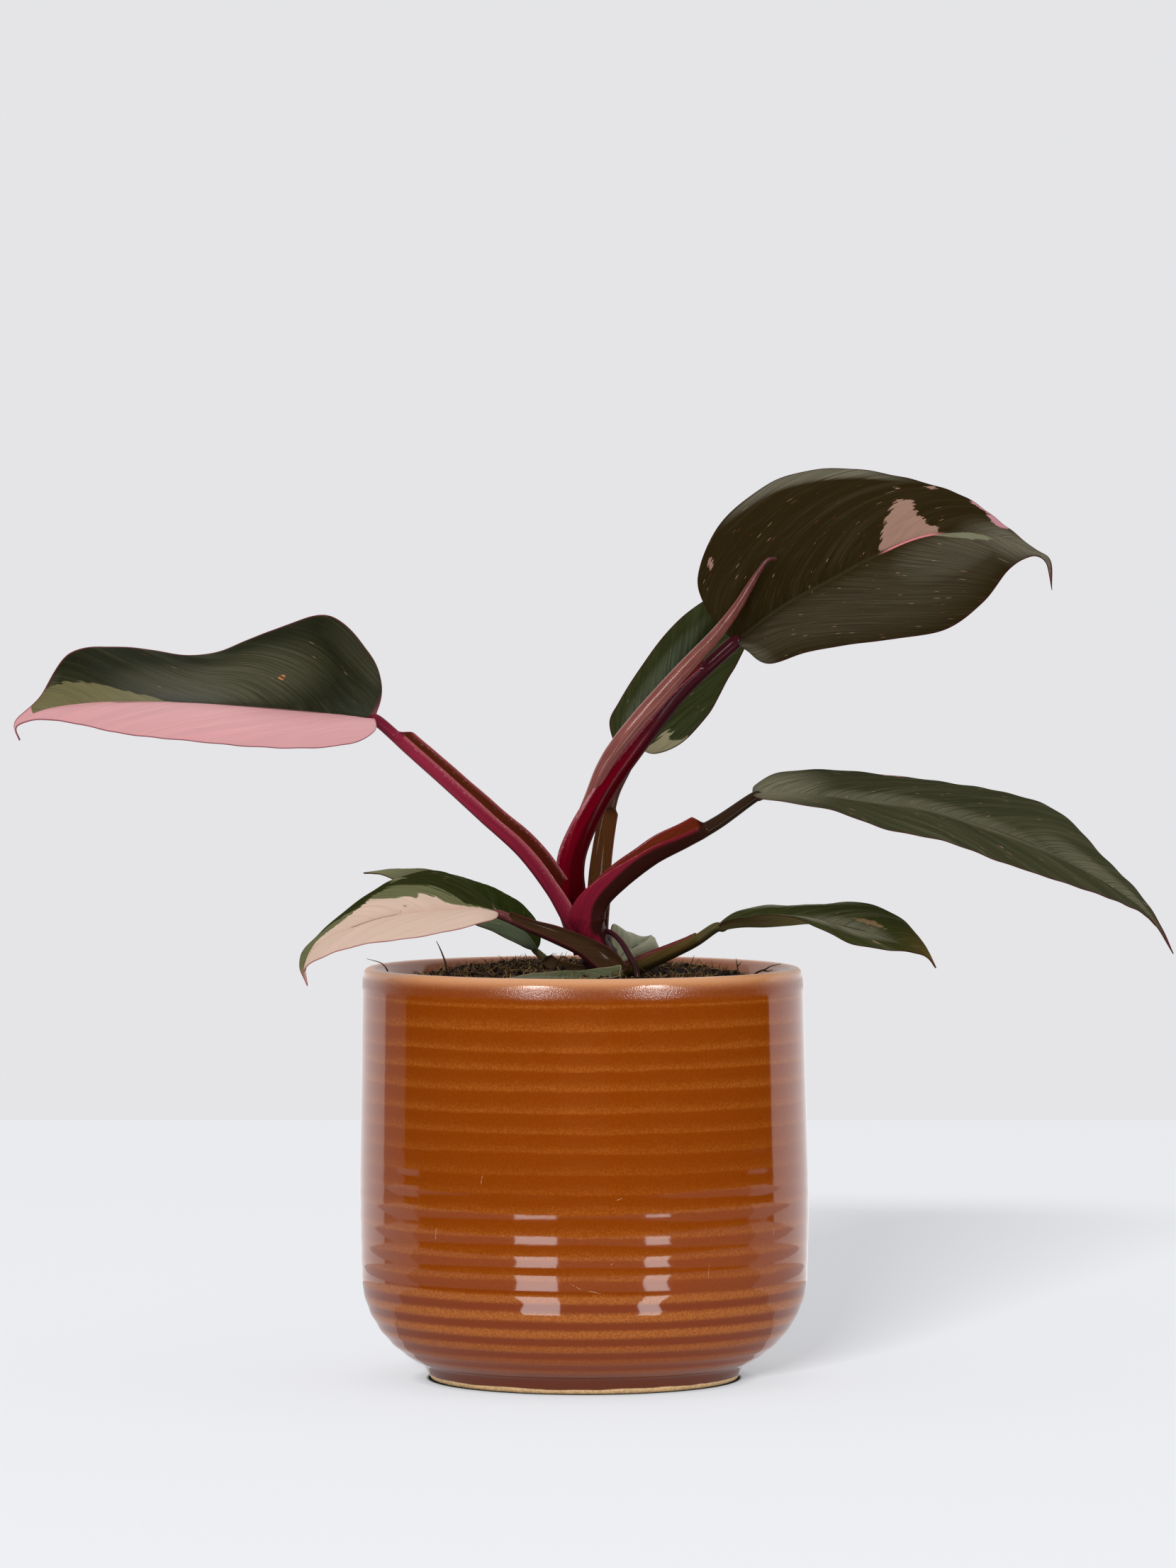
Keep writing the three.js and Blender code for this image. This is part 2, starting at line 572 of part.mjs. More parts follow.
// Soil and root ball, filling the pot: a mound that falls to the wall, higher at the back, with lumps.
function soil() {
  const top = SOIL.edge;
  const rim = INSIDE.radius - GAP;
  const rings = [0.97, 0.9, 0.8, 0.7, 0.58, 0.46, 0.34, 0.22, 0.1, 0].map((share) => [rim * share, top]);
  const profile = [[0, INSIDE.floor + GAP], ...innerCorner(GAP), [rim, top - 2], ...rings];
  const geometry = turned(profile, SOIL.sides);
  const { position } = geometry.attributes;
  for (let i = 0; i < position.count; i++) {
    if (position.getZ(i) < top - 1) continue;
    const [x, y] = [position.getX(i), position.getY(i)];
    const share = Math.min(1, Math.hypot(x, y) / rim);
    const mound = SOIL.rise * (1 - share ** 4) + SOIL.back * smooth(-10, 40, y) * (1 - share ** 6);
    const lumps = Math.sin(0.47 * x + 1.3) * Math.cos(0.39 * y - 0.4) + Math.sin(0.83 * x - 0.61 * y + 2);
    const fromCrown = Math.hypot(x - CROWN_DIP.x, y - CROWN_DIP.y) / CROWN_DIP.reach;
    const dip = CROWN_DIP.depth * Math.exp(-(fromCrown ** 2));
    position.setZ(i, top + mound - dip + SOIL.relief * lumps * (1 - share ** 8));
  }
  return solidOf(geometry);
}

const group = new THREE.Group();
group.name = "potted_philodendron";
const placed = [];

// Adds a piece, cut clear of every plant piece placed before it.
function place(name, solid, { color, roughness }) {
  const box = boxOf(solid);
  const near = placed.filter((other) => other.box.intersectsBox(box));
  const clear = near.reduce((rest, other) => rest.subtract(other.grown), solid);
  const body = near.length ? largestBody(clear) : solid;
  const bigger = grown(body);
  placed.push({ grown: bigger, box: boxOf(bigger) });
  show(name, body, { color, roughness });
}

function show(name, body, { color, roughness }) {
  const material = new THREE.MeshStandardMaterial({ color, roughness, metalness: 0 });
  const mesh = new THREE.Mesh(geometryOf(body), material);
  mesh.name = name;
  group.add(mesh);
}

function boxOf(solid) {
  const { min, max } = solid.boundingBox();
  return new THREE.Box3(vector(min), vector(max));
}

for (const leaf of LEAVES) place(`${leaf.name}_blade`, blade(leaf), leaf.finish);
place("stem", rod(STEM, 8), FINISH.stem);
place("new_leaf", rod(NEW_LEAF, 18), FINISH.newLeaf);
const crownOrder = ["leaf_4", "leaf_1", "leaf_2", "leaf_5", "leaf_3", "leaf_6", "leaf_7", "leaf_8", "leaf_9"];
for (const name of crownOrder) {
  const leaf = LEAVES.find((each) => each.name === name);
  place(`${name}_stalk`, stalk(leaf.stalk), leaf.stalk.finish);
}
place("aerial_root", rod(AERIAL_ROOT, 9), FINISH.root);
place("soil", soil(), FINISH.soil);
show("pot", pot(), FINISH.pot);

export default group;
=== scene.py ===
"""A potted philodendron with pink and green leaves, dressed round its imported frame.

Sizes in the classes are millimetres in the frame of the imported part: +Z up, the origin in the middle of
the pot's underside and the pot's front facing -Y. Meshes are written in metres.
"""
import itertools
import json
import logging
import math
from dataclasses import dataclass, field
from enum import Enum
from typing import Callable, Iterable, NamedTuple, Optional, Sequence, Union

import bpy
import numpy as np
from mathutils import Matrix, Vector

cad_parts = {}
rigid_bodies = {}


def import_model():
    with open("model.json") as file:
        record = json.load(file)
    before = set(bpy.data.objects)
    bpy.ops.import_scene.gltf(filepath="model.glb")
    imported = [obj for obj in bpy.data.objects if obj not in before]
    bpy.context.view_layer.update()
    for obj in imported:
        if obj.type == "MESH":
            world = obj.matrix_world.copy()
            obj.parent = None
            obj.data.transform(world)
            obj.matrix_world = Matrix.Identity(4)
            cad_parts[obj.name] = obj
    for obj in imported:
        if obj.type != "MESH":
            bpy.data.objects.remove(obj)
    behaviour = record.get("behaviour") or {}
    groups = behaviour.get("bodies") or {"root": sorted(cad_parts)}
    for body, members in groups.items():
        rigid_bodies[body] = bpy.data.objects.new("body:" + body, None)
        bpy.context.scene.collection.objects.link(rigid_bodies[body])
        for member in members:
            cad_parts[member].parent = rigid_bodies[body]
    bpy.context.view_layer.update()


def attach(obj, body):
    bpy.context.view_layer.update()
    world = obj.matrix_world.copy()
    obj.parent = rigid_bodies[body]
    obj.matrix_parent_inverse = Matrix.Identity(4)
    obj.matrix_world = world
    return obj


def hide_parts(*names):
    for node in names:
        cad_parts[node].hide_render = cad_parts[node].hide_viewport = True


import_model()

MM = 0.001
BODY = "root"
TINY = 1e-9
TURN = 2 * math.pi
LOG = logging.getLogger("philodendron")

Array = np.ndarray
Material = bpy.types.Material
Thing = bpy.types.Object
Point = Sequence[float]
Colour = tuple[float, float, float]
Pair = tuple[float, float]
Table = tuple[Pair, ...]


# Numbers, curves and skins

def tone(red: int, green: int, blue: int) -> Colour:
    """A display colour, 0 to 255 a channel, as the linear colour that shaders use."""
    shares = [channel / 255 for channel in (red, green, blue)]
    return tuple(s / 12.92 if s <= 0.04045 else ((s + 0.055) / 1.055) ** 2.4 for s in shares)


def times(colour: Colour, by: float) -> Colour:
    """A colour made darker or lighter, up to 1 a channel."""
    return tuple(min(1.0, channel * by) for channel in colour)


def smooth(low: float, high: float, value: Array) -> Array:
    """A smooth step from 0 at low to 1 at high."""
    share = np.clip((np.asarray(value, float) - low) / (high - low), 0, 1)
    return share * share * (3 - 2 * share)


def unit(vectors: Array) -> Array:
    """The vectors at length 1."""
    return vectors / np.maximum(np.linalg.norm(vectors, axis=-1, keepdims=True), TINY)


def stacked(*values: Array) -> Array:
    """Values as the numbers of one vector at each point, all spread to the same shape."""
    return np.stack(np.broadcast_arrays(*values), axis=-1)


def read(table: Sequence[Point], place: Array) -> Array:
    """The values at these places of a table of (place, value)."""
    return np.interp(place, *np.transpose(table))


# By what noise multiplies x, y, z and the seed, to stir them into one random word
STIR = (374761393, 668265263, 1274126177, 974634777)
WORD = 0xFFFFFFFF


def noise(points: Array, seed: int) -> Array:
    """Smooth random values from -1 to 1, the same at each run.

    Args:
        points: places, with three numbers in the last axis; the noise turns about once a unit.
        seed: which field of values to read.

    Returns:
        One value a point.
    """
    points = np.asarray(points, float)
    cell = np.floor(points).astype(np.int64)
    part = points - cell
    ease = part * part * (3 - 2 * part)
    total = np.zeros(points.shape[:-1])
    for corner in itertools.product((0, 1), repeat=3):
        weight = np.prod(np.where(corner, ease, 1 - ease), axis=-1)
        place = np.moveaxis(cell + np.array(corner), -1, 0)
        word = sum(number * by for number, by in zip((*place, seed), STIR)) & WORD
        word = ((word ^ (word >> 13)) * STIR[2]) & WORD
        total += weight * ((word ^ (word >> 16)) / (WORD >> 1) - 1)
    return total


@dataclass(frozen=True)
class Curve:
    """A smooth curve through points, each at an equal step of the share 0 to 1 along it."""

    points: tuple[Point, ...]

    def at(self, share: Array) -> Array:
        """The places on the curve at these shares."""
        return self._blend(share, lambda f: (
            -f + 2 * f**2 - f**3, 2 - 5 * f**2 + 3 * f**3, f + 4 * f**2 - 3 * f**3, f**3 - f**2))

    def tangent(self, share: Array) -> Array:
        """The unit directions of the curve at these shares."""
        return unit(self._blend(share, lambda f: (
            -1 + 4 * f - 3 * f**2, -10 * f + 9 * f**2, 1 + 8 * f - 9 * f**2, 3 * f**2 - 2 * f)))

    def _blend(self, share: Array, weights: Callable) -> Array:
        """Mixes the four points round each share by weights of the part of the way between them."""
        points = np.asarray(self.points, float)
        padded = np.vstack([2 * points[0] - points[1], points, 2 * points[-1] - points[-2]])
        place = np.clip(np.atleast_1d(share), 0, 1) * (len(points) - 1)
        index = np.minimum(place.astype(int), len(points) - 2)
        return 0.5 * sum(w[:, None] * padded[index + k] for k, w in enumerate(weights(place - index)))

    @property
    def length(self) -> float:
        """The length of the whole curve."""
        return float(self.length_at(np.array([1.0]))[0])

    def length_at(self, share: Array) -> Array:
        """The length along the curve up to each share."""
        fine = np.linspace(0, 1, 400)
        steps = np.linalg.norm(np.diff(self.at(fine), axis=0), axis=1)
        return np.interp(share, fine, np.concatenate([[0], np.cumsum(steps)]))


def spread(values: Sequence[float], share: Array) -> Array:
    """A list of values read between its entries at shares of its length."""
    return np.interp(share, np.linspace(0, 1, len(values)), values)


@dataclass
class Skin:
    """Points in millimetres, faces, and marks: three numbers a point that the finish reads."""

    points: Array
    faces: list[tuple[int, ...]]
    marks: dict[str, Array] = field(default_factory=dict)

    @classmethod
    def around(cls, rings: Array, marks: dict[str, Array],
               ends: Optional[tuple[Point, Point]] = None) -> "Skin":
        """A skin through closed rings, shut by a fan at each end.

        Args:
            rings: points as rings x points in a ring x 3, turning so that the faces look out.
            marks: values of the same shape for each name.
            ends: the middle points of the two fans, or None for the middles of the end rings.

        Returns:
            The closed skin.
        """
        count, sides, _ = rings.shape
        start, finish = ends or (rings[0].mean(axis=0), rings[-1].mean(axis=0))
        points = np.vstack([rings.reshape(-1, 3), start, finish])
        a = np.arange((count - 1) * sides).reshape(count - 1, sides)
        b = np.roll(a, -1, axis=1)
        faces = np.stack([a, b, b + sides, a + sides], axis=-1).reshape(-1, 4).tolist()
        last, first_fan, last_fan = (count - 1) * sides, count * sides, count * sides + 1
        for k in range(sides):
            after = (k + 1) % sides
            faces.append((first_fan, after, k))
            faces.append((last_fan, last + k, last + after))
        closed = {name: np.vstack([v.reshape(-1, 3), v[0].mean(axis=0), v[-1].mean(axis=0)])
                  for name, v in marks.items()}
        return cls(points, faces, closed)

    @classmethod
    def joined(cls, skins: Iterable["Skin"]) -> "Skin":
        """Several skins as one."""
        skins = list(skins)
        starts = np.cumsum([0] + [len(skin.points) for skin in skins])
        faces = [tuple(i + start for i in f) for skin, start in zip(skins, starts) for f in skin.faces]
        marks = {name: np.vstack([skin.marks[name] for skin in skins]) for name in skins[0].marks}
        return cls(np.vstack([skin.points for skin in skins]), faces, marks)


def piece(name: str, skin: Skin, material: Material,
          nodes: Sequence[str] = (), soft: bool = True) -> Thing:
    """Makes one object of the part.

    Args:
        name: the piece's name.
        skin: its shape.
        material: its finish.
        nodes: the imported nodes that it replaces.
        soft: whether its faces are shaded smooth.

    Returns:
        The object, riding on the part's body.
    """
    mesh = bpy.data.meshes.new(name)
    mesh.from_pydata((skin.points * MM).tolist(), [], skin.faces)
    for key, values in skin.marks.items():
        mesh.attributes.new(key, "FLOAT_VECTOR", "POINT").data.foreach_set("vector", values.ravel())
    if soft:
        mesh.shade_smooth()
    made = bpy.data.objects.new(name, mesh)
    bpy.context.scene.collection.objects.link(made)
    made.data.materials.append(material)
    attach(made, BODY)
    if nodes:
        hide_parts(*nodes)
    LOG.info("%s: %d points, %d faces", name, len(skin.points), len(skin.faces))
    return made


# Shader maths

def math_method(operation: str, turned: bool = False) -> Callable[..., "Signal"]:
    """A method that adds a Math node.

    Args:
        operation: what the node does.
        turned: whether the signal itself comes after the other value.

    Returns:
        The method, which gives the node's result.
    """
    def method(self: "Signal", *others: "Input") -> "Signal":
        """Adds the node."""
        values = (*others, self) if turned else (self, *others)
        return self.shader.node("ShaderNodeMath", {"operation": operation}, dict(enumerate(values)))

    return method


class Signal:
    """A value, vector or colour on its way through a node tree."""

    __add__ = __radd__ = math_method("ADD")
    __mul__ = __rmul__ = math_method("MULTIPLY")
    __sub__, __rsub__ = math_method("SUBTRACT"), math_method("SUBTRACT", turned=True)
    __truediv__, __pow__, __abs__ = (math_method(kind) for kind in ("DIVIDE", "POWER", "ABSOLUTE"))
    floor, sine, most = (math_method(kind) for kind in ("FLOOR", "SINE", "MAXIMUM"))

    def __init__(self, shader: "Shader", socket: bpy.types.NodeSocket) -> None:
        """Wraps a node's output."""
        self.shader, self.socket = shader, socket

    def step(self, low: float, high: float) -> "Signal":
        """A smooth step from 0 at low to 1 at high; low may be above high."""
        if low > high:
            return 1 - self.step(high, low)
        return self.shader.node("ShaderNodeMapRange", {"interpolation_type": "SMOOTHSTEP"},
                                {"Value": self, "From Min": low, "From Max": high})

    def parts(self) -> tuple["Signal", "Signal", "Signal"]:
        """The three numbers of a vector."""
        node = self.shader.node("ShaderNodeSeparateXYZ", {}, {0: self}).socket.node
        return tuple(Signal(self.shader, socket) for socket in node.outputs)


Input = Union[Signal, float, Colour]


class Shader:
    """A material's node tree, built from expressions."""

    def __init__(self, name: str) -> None:
        """Starts an empty material."""
        self.material = bpy.data.materials.new(name)
        self.material.use_nodes = True
        self.tree = self.material.node_tree
        self.tree.nodes.clear()

    def node(self, kind: str, settings: dict, values: dict, output: Union[int, str] = 0) -> Signal:
        """Adds any node.

        Args:
            kind: the node's type.
            settings: its own settings, set first; "stops" are a ramp's places and colours.
            values: constants or signals for its sockets, by name or number.
            output: the output to go on from.

        Returns:
            That output as a signal.
        """
        made = self.tree.nodes.new(kind)
        for key, value in settings.items():
            if key == "stops":
                elements = made.color_ramp.elements
                while len(elements) < len(value):
                    elements.new(0.5)
                for element, (place, colour) in zip(elements, value):
                    element.position, element.color = place, (*colour, 1)
            else:
                setattr(made, key, value)
        for key, value in values.items():
            socket = made.inputs[key]
            if isinstance(value, Signal):
                self.tree.links.new(value.socket, socket)
            elif isinstance(value, tuple) and socket.type == "RGBA":
                socket.default_value = (*value, 1)
            else:
                socket.default_value = value
        return Signal(self, made.outputs[output]) if len(made.outputs) else None

    def mark(self, name: str) -> Signal:
        """The marks that the skin carries under this name."""
        return self.node("ShaderNodeAttribute", {"attribute_name": name}, {}, "Vector")

    def place(self) -> Signal:
        """The place on the object, in millimetres."""
        metres = self.node("ShaderNodeTexCoord", {}, {}, "Object")
        return self.node("ShaderNodeVectorMath", {"operation": "SCALE"}, {0: metres, "Scale": 1 / MM})

    def vector(self, x: Input, y: Input, z: Input = 0.0) -> Signal:
        """Three values as a vector."""
        return self.node("ShaderNodeCombineXYZ", {}, {0: x, 1: y, 2: z})

    def scaled(self, vector: Signal, by: Colour) -> Signal:
        """A vector with each of its numbers multiplied."""
        return self.node("ShaderNodeVectorMath", {"operation": "MULTIPLY"}, {0: vector, 1: by})

    def clouds(self, vector: Signal, scale: float, detail: float = 2, rough: float = 0.5) -> Signal:
        """Cloudy noise from 0 to 1, about 0.5."""
        return self.node("ShaderNodeTexNoise", {}, {
            "Vector": vector, "Scale": scale, "Detail": detail, "Roughness": rough})

    def grain(self, x: Input, y: Input, z: Input = 0.0, detail: float = 2, rough: float = 0.5) -> Signal:
        """Cloudy noise at three values, each scaled to stretch it."""
        return self.clouds(self.vector(x, y, z), 1, detail, rough)

    def dice(self, vector: Signal) -> Signal:
        """One random value from 0 to 1 for each place."""
        return self.node("ShaderNodeTexWhiteNoise", {"noise_dimensions": "3D"}, {"Vector": vector})

    def cells(self, vector: Signal, scale: float) -> tuple[Signal, Signal]:
        """Scattered cells.

        Args:
            vector: the place.
            scale: cells a unit.

        Returns:
            The distance to the nearest cell's middle, in cells, and a random value of that cell.
        """
        distance = self.node("ShaderNodeTexVoronoi", {"feature": "F1"}, {"Vector": vector, "Scale": scale})
        colour = Signal(self, distance.socket.node.outputs["Color"])
        return distance, colour.parts()[0]

    def specks(self, vector: Signal, scale: float, share: float, size: float) -> Signal:
        """Small specks: in a share of the cells, a spot as large as size, in cells."""
        distance, chance = self.cells(vector, scale)
        return distance.step(size, size * 0.6) * chance.step(share, share * 0.8)

    def mix(self, factor: Input, first: Input, second: Input, kind: str = "MIX") -> Signal:
        """Two colours mixed by a factor."""
        return self.node("ShaderNodeMix", {"data_type": "RGBA", "blend_type": kind, "clamp_factor": True}, {
            "Factor": factor, 6: first, 7: second}, 2)

    def paint(self, ground: Input, *layers: tuple[Input, Input]) -> Input:
        """A ground colour under layers, each a mask and its colour."""
        for mask, colour in layers:
            ground = self.mix(mask, ground, colour)
        return ground

    def ramp(self, value: Signal, *stops: tuple[float, Colour]) -> Signal:
        """A colour read from stops by a value."""
        return self.node("ShaderNodeValToRGB", {"stops": stops}, {"Fac": value})

    def bump(self, height: Signal, depth: float, strength: float = 1.0) -> Signal:
        """The normal of a surface with this height from 0 to 1, over a depth in millimetres."""
        return self.node("ShaderNodeBump", {}, {
            "Height": height, "Distance": depth * MM, "Strength": strength})

    def finish(self, **sockets: Input) -> Material:
        """Ends the tree in a Principled surface with these sockets, in names with underscores."""
        named = {key.replace("_", " "): value for key, value in sockets.items()}
        surface = self.node("ShaderNodeBsdfPrincipled", {}, named)
        self.node("ShaderNodeOutputMaterial", {}, {"Surface": surface})
        return self.material


# Leaf blades

class Sheet(Enum):
    """The two faces of a blade, as its side mark gives them."""

    UPPER = 1
    LOWER = -1


@dataclass(frozen=True)
class Areas:
    """Outlines of one colour on a blade, as (share along, share across from -1 left to 1 right)."""

    outlines: tuple[Table, ...] = ()
    far: float = 99.0

    def depth(self, along: Array, across: Array, length: float, width: float) -> Array:
        """How far inside the outlines each place is, in millimetres, and below 0 outside.

        Args:
            along: shares along the blade.
            across: shares across it.
            length: the blade's length.
            width: its half width.

        Returns:
            The depth at each place.
        """
        place = np.stack([along * length, across * width], axis=-1)
        deepest = np.full(along.shape, -self.far)
        for outline in self.outlines:
            corners = np.array(outline) * (length, width)
            distance = np.full(along.shape, np.inf)
            inside = np.zeros(along.shape, bool)
            for a, b in zip(corners, np.roll(corners, -1, axis=0)):
                edge, rest = b - a, place - a
                share = np.clip((rest @ edge) / max(edge @ edge, TINY), 0, 1)
                distance = np.minimum(distance, np.linalg.norm(rest - share[..., None] * edge, axis=-1))
                crosses = (a[1] > place[..., 1]) != (b[1] > place[..., 1])
                rise = np.where(b[1] == a[1], TINY, b[1] - a[1])
                inside ^= crosses & (place[..., 0] < a[0] + (place[..., 1] - a[1]) / rise * edge[0])
            deepest = np.maximum(deepest, np.where(inside, distance, -distance))
        return deepest


def fleck(along: float, across: float, half_along: float, half_across: float) -> tuple:
    """The outline of a small oval fleck."""
    turns = np.linspace(0, TURN, 9)[:-1]
    return tuple((along + half_along * math.cos(a), across + half_across * math.sin(a)) for a in turns)


class LeafPaint:
    """What a leaf's colours are made of: the marks of its skin, and noise that runs along its veins."""

    def __init__(self, name: str, jag: float) -> None:
        """Reads the marks; jag is how far, in millimetres, an area's edge steps in and out."""
        self.shader = shader = Shader(name)
        self.share, self.across, self.side = shader.mark("leaf").parts()
        self.vein, self.outward, self.edge = vein, outward, _ = shader.mark("vein").parts()
        self.depths = shader.mark("zone").parts()
        strip = shader.dice(shader.vector((vein / 1.2).floor(), (outward / 5).floor(), self.side))
        wander = shader.grain(vein * 0.3, outward * 0.12, self.side * 9, 3)
        self.jag = ((strip - 0.5) * jag + (wander - 0.5) * jag * 1.5) * outward.step(0.2, 3.5)
        self.streaks = shader.grain(vein * 1.5, outward * 0.07, self.side * 5, 4, 0.6)
        self.broad = shader.grain(vein * 0.16, outward * 0.05, self.side * 7)
        self.fine = shader.grain(vein * 6, outward * 0.3, self.side * 3)
        self.below = self.side.step(0.1, -0.1)

    def area(self, depth: Signal, soft: float = 0.22) -> Signal:
        """The mask of an area with an edge that steps along the veins."""
        return (depth + self.jag).step(-soft, soft)

    def tinted(self, colour: Colour, dark: float, light: float) -> Signal:
        """A colour that goes from darker to lighter in streaks along the veins."""
        mask = (self.streaks * 0.7 + self.broad * 0.5 - 0.1).step(0.2, 0.85)
        return self.shader.mix(mask, times(colour, dark), times(colour, light))


@dataclass(frozen=True)
class LeafFinish:
    """The colours of one leaf: a ground, and over it an olive, a main and an accent area.

    A ground or main of None is the leaf's green. pale is the colour of the painted sheen, a highlight
    painted into the colour. A painted sheen patch has its middle along and across the blade, its reach
    along and across, and its strength; sheen is how strongly a broad painted sheen lies over the whole
    green. veining is how dark and how light the green's streaks are, and line is where a coloured line
    on the midrib starts, is full, fades and ends.
    """

    name: str
    green: Colour = tone(48, 58, 36)
    ground: Optional[Colour] = None
    main: Optional[Colour] = None
    blush: Optional[Colour] = None
    olive: Colour = tone(128, 122, 84)
    accent: Colour = tone(190, 150, 140)
    pale: Colour = tone(126, 120, 92)
    tip: Colour = tone(72, 48, 42)
    tip_from: float = 0.86
    base: Colour = tone(70, 70, 52)
    midrib: Colour = tone(82, 88, 60)
    under: Colour = tone(96, 70, 58)
    margin: Colour = tone(64, 22, 30)
    line: tuple[float, ...] = (0.5, 0.52, 0.64, 0.66)
    line_colour: Colour = tone(66, 58, 42)
    straw_speck: Colour = tone(176, 140, 112)
    rust_speck: Colour = tone(150, 66, 48)
    glows: tuple[tuple[float, float, float, float, float], ...] = ()
    veining: Pair = (0.7, 1.3)
    sheen: float = 0.35
    jag: float = 1.3
    speckle: float = 0.1
    specular: float = 0.0
    roughness: float = 0.42
    fold_pitch: float = 2.1

    def material(self) -> Material:
        """The leaf's material."""
        paint = LeafPaint(self.name, self.jag)
        shader, streaks, fine = paint.shader, paint.streaks, paint.fine
        folds = (paint.vein * (TURN / self.fold_pitch)).sine()
        relief = fine * 0.5 + streaks * 0.6 + folds * 0.12 + shader.clouds(shader.place(), 3.2) * 0.25
        return shader.finish(
            Base_Color=shader.mix(paint.below, self.upper_face(paint), self.lower_face(paint)),
            Roughness=self.roughness + (streaks - 0.5) * 0.16 + paint.below * 0.12,
            Normal=shader.bump(relief, 0.1, 0.6), Specular_IOR_Level=self.specular, IOR=1.45)

    def living_green(self, paint: LeafPaint) -> Signal:
        """The green, with its streaks, its painted sheen in the pale colour and its specks."""
        shader, streaks, broad, fine = paint.shader, paint.streaks, paint.broad, paint.fine
        # Painted sheen: a pale highlight painted over the green, broad from noise and stronger in each sheen
        # patch
        glow = broad.step(0.45, 0.75) * 0.25 * self.sheen
        for middle, aside, half_along, half_across, strength in self.glows:
            away = ((paint.share - middle) / half_along) ** 2 + ((paint.across - aside) / half_across) ** 2
            glow = glow.most(away.step(1, 0) * strength)
        veins = (streaks * 0.85 + broad * 0.25 + (fine - 0.5) * 0.2 - 0.05).step(0.3, 0.75)
        dark, light = (times(self.green, by) for by in self.veining)
        # Both pale layers are painted sheen, the second in fine streaks along the veins
        green = shader.paint(
            shader.mix(veins, dark, light),
            (glow * (0.45 + streaks.step(0.35, 0.7) * 0.8), self.pale),
            (fine.step(0.6, 0.75) * streaks.step(0.4, 0.6) * 0.3, self.pale))
        spots = shader.vector(paint.vein * 0.9, paint.outward * 0.4, paint.side * 4)
        return shader.paint(
            green,
            (shader.specks(spots, 0.7, self.speckle, 0.13) * 0.8, self.straw_speck),
            (shader.specks(spots, 0.9, self.speckle * 0.5, 0.12) * 0.8, self.rust_speck))

    def upper_face(self, paint: LeafPaint) -> Signal:
        """The upper face: the ground and the areas, then tip, base, midrib, its line and the margin."""
        shader, streaks, fine = paint.shader, paint.streaks, paint.fine
        share, outward, edge = paint.share, paint.outward, paint.edge
        green = self.living_green(paint)
        ground = paint.tinted(self.ground, 0.86, 1.1) if self.ground else green
        if self.blush:
            blushed = (streaks * 0.6 + paint.broad * 0.6 - 0.1).step(0.5, 0.8) * edge.step(9, 0)
            ground = shader.mix(blushed * 0.5, ground, self.blush)
        olive, main, accent = paint.depths
        start, full, fade, end = self.line
        return shader.paint(
            ground,
            (paint.area(olive), shader.mix(streaks.step(0.5, 0.68) * 0.5,
                                           paint.tinted(self.olive, 0.8, 1.1), self.green)),
            (paint.area(main), paint.tinted(self.main, 0.85, 1.1) if self.main else green),
            (paint.area(accent, 0.15), shader.mix(fine.step(0.5, 0.7) * 0.3,
                                                  paint.tinted(self.accent, 0.8, 1.1), self.green)),
            ((share + (streaks - 0.5) * 0.08).step(self.tip_from, 1.0) * 0.8, self.tip),
            (share.step(0.1, 0.0) * 0.5, self.base),
            (outward.step(0.9, 0.3) * share.step(0.85, 0.3) * 0.5, self.midrib),
            (outward.step(0.5, 0.3) * share.step(start, full) * share.step(end, fade), self.line_colour),
            ((edge + (fine - 0.5) * 0.2).step(0.5, 0.2) * 0.8, self.margin))

    def lower_face(self, paint: LeafPaint) -> Signal:
        """The duller lower face, with its midrib and its margin."""
        rib = tuple(0.5 * (a + b) for a, b in zip(self.midrib, self.under))
        return paint.shader.paint(
            paint.tinted(self.under, 0.8, 1.2),
            (paint.outward.step(1.4, 0.5) * 0.6, rib),
            (paint.edge.step(0.6, 0.2) * 0.8, self.margin))


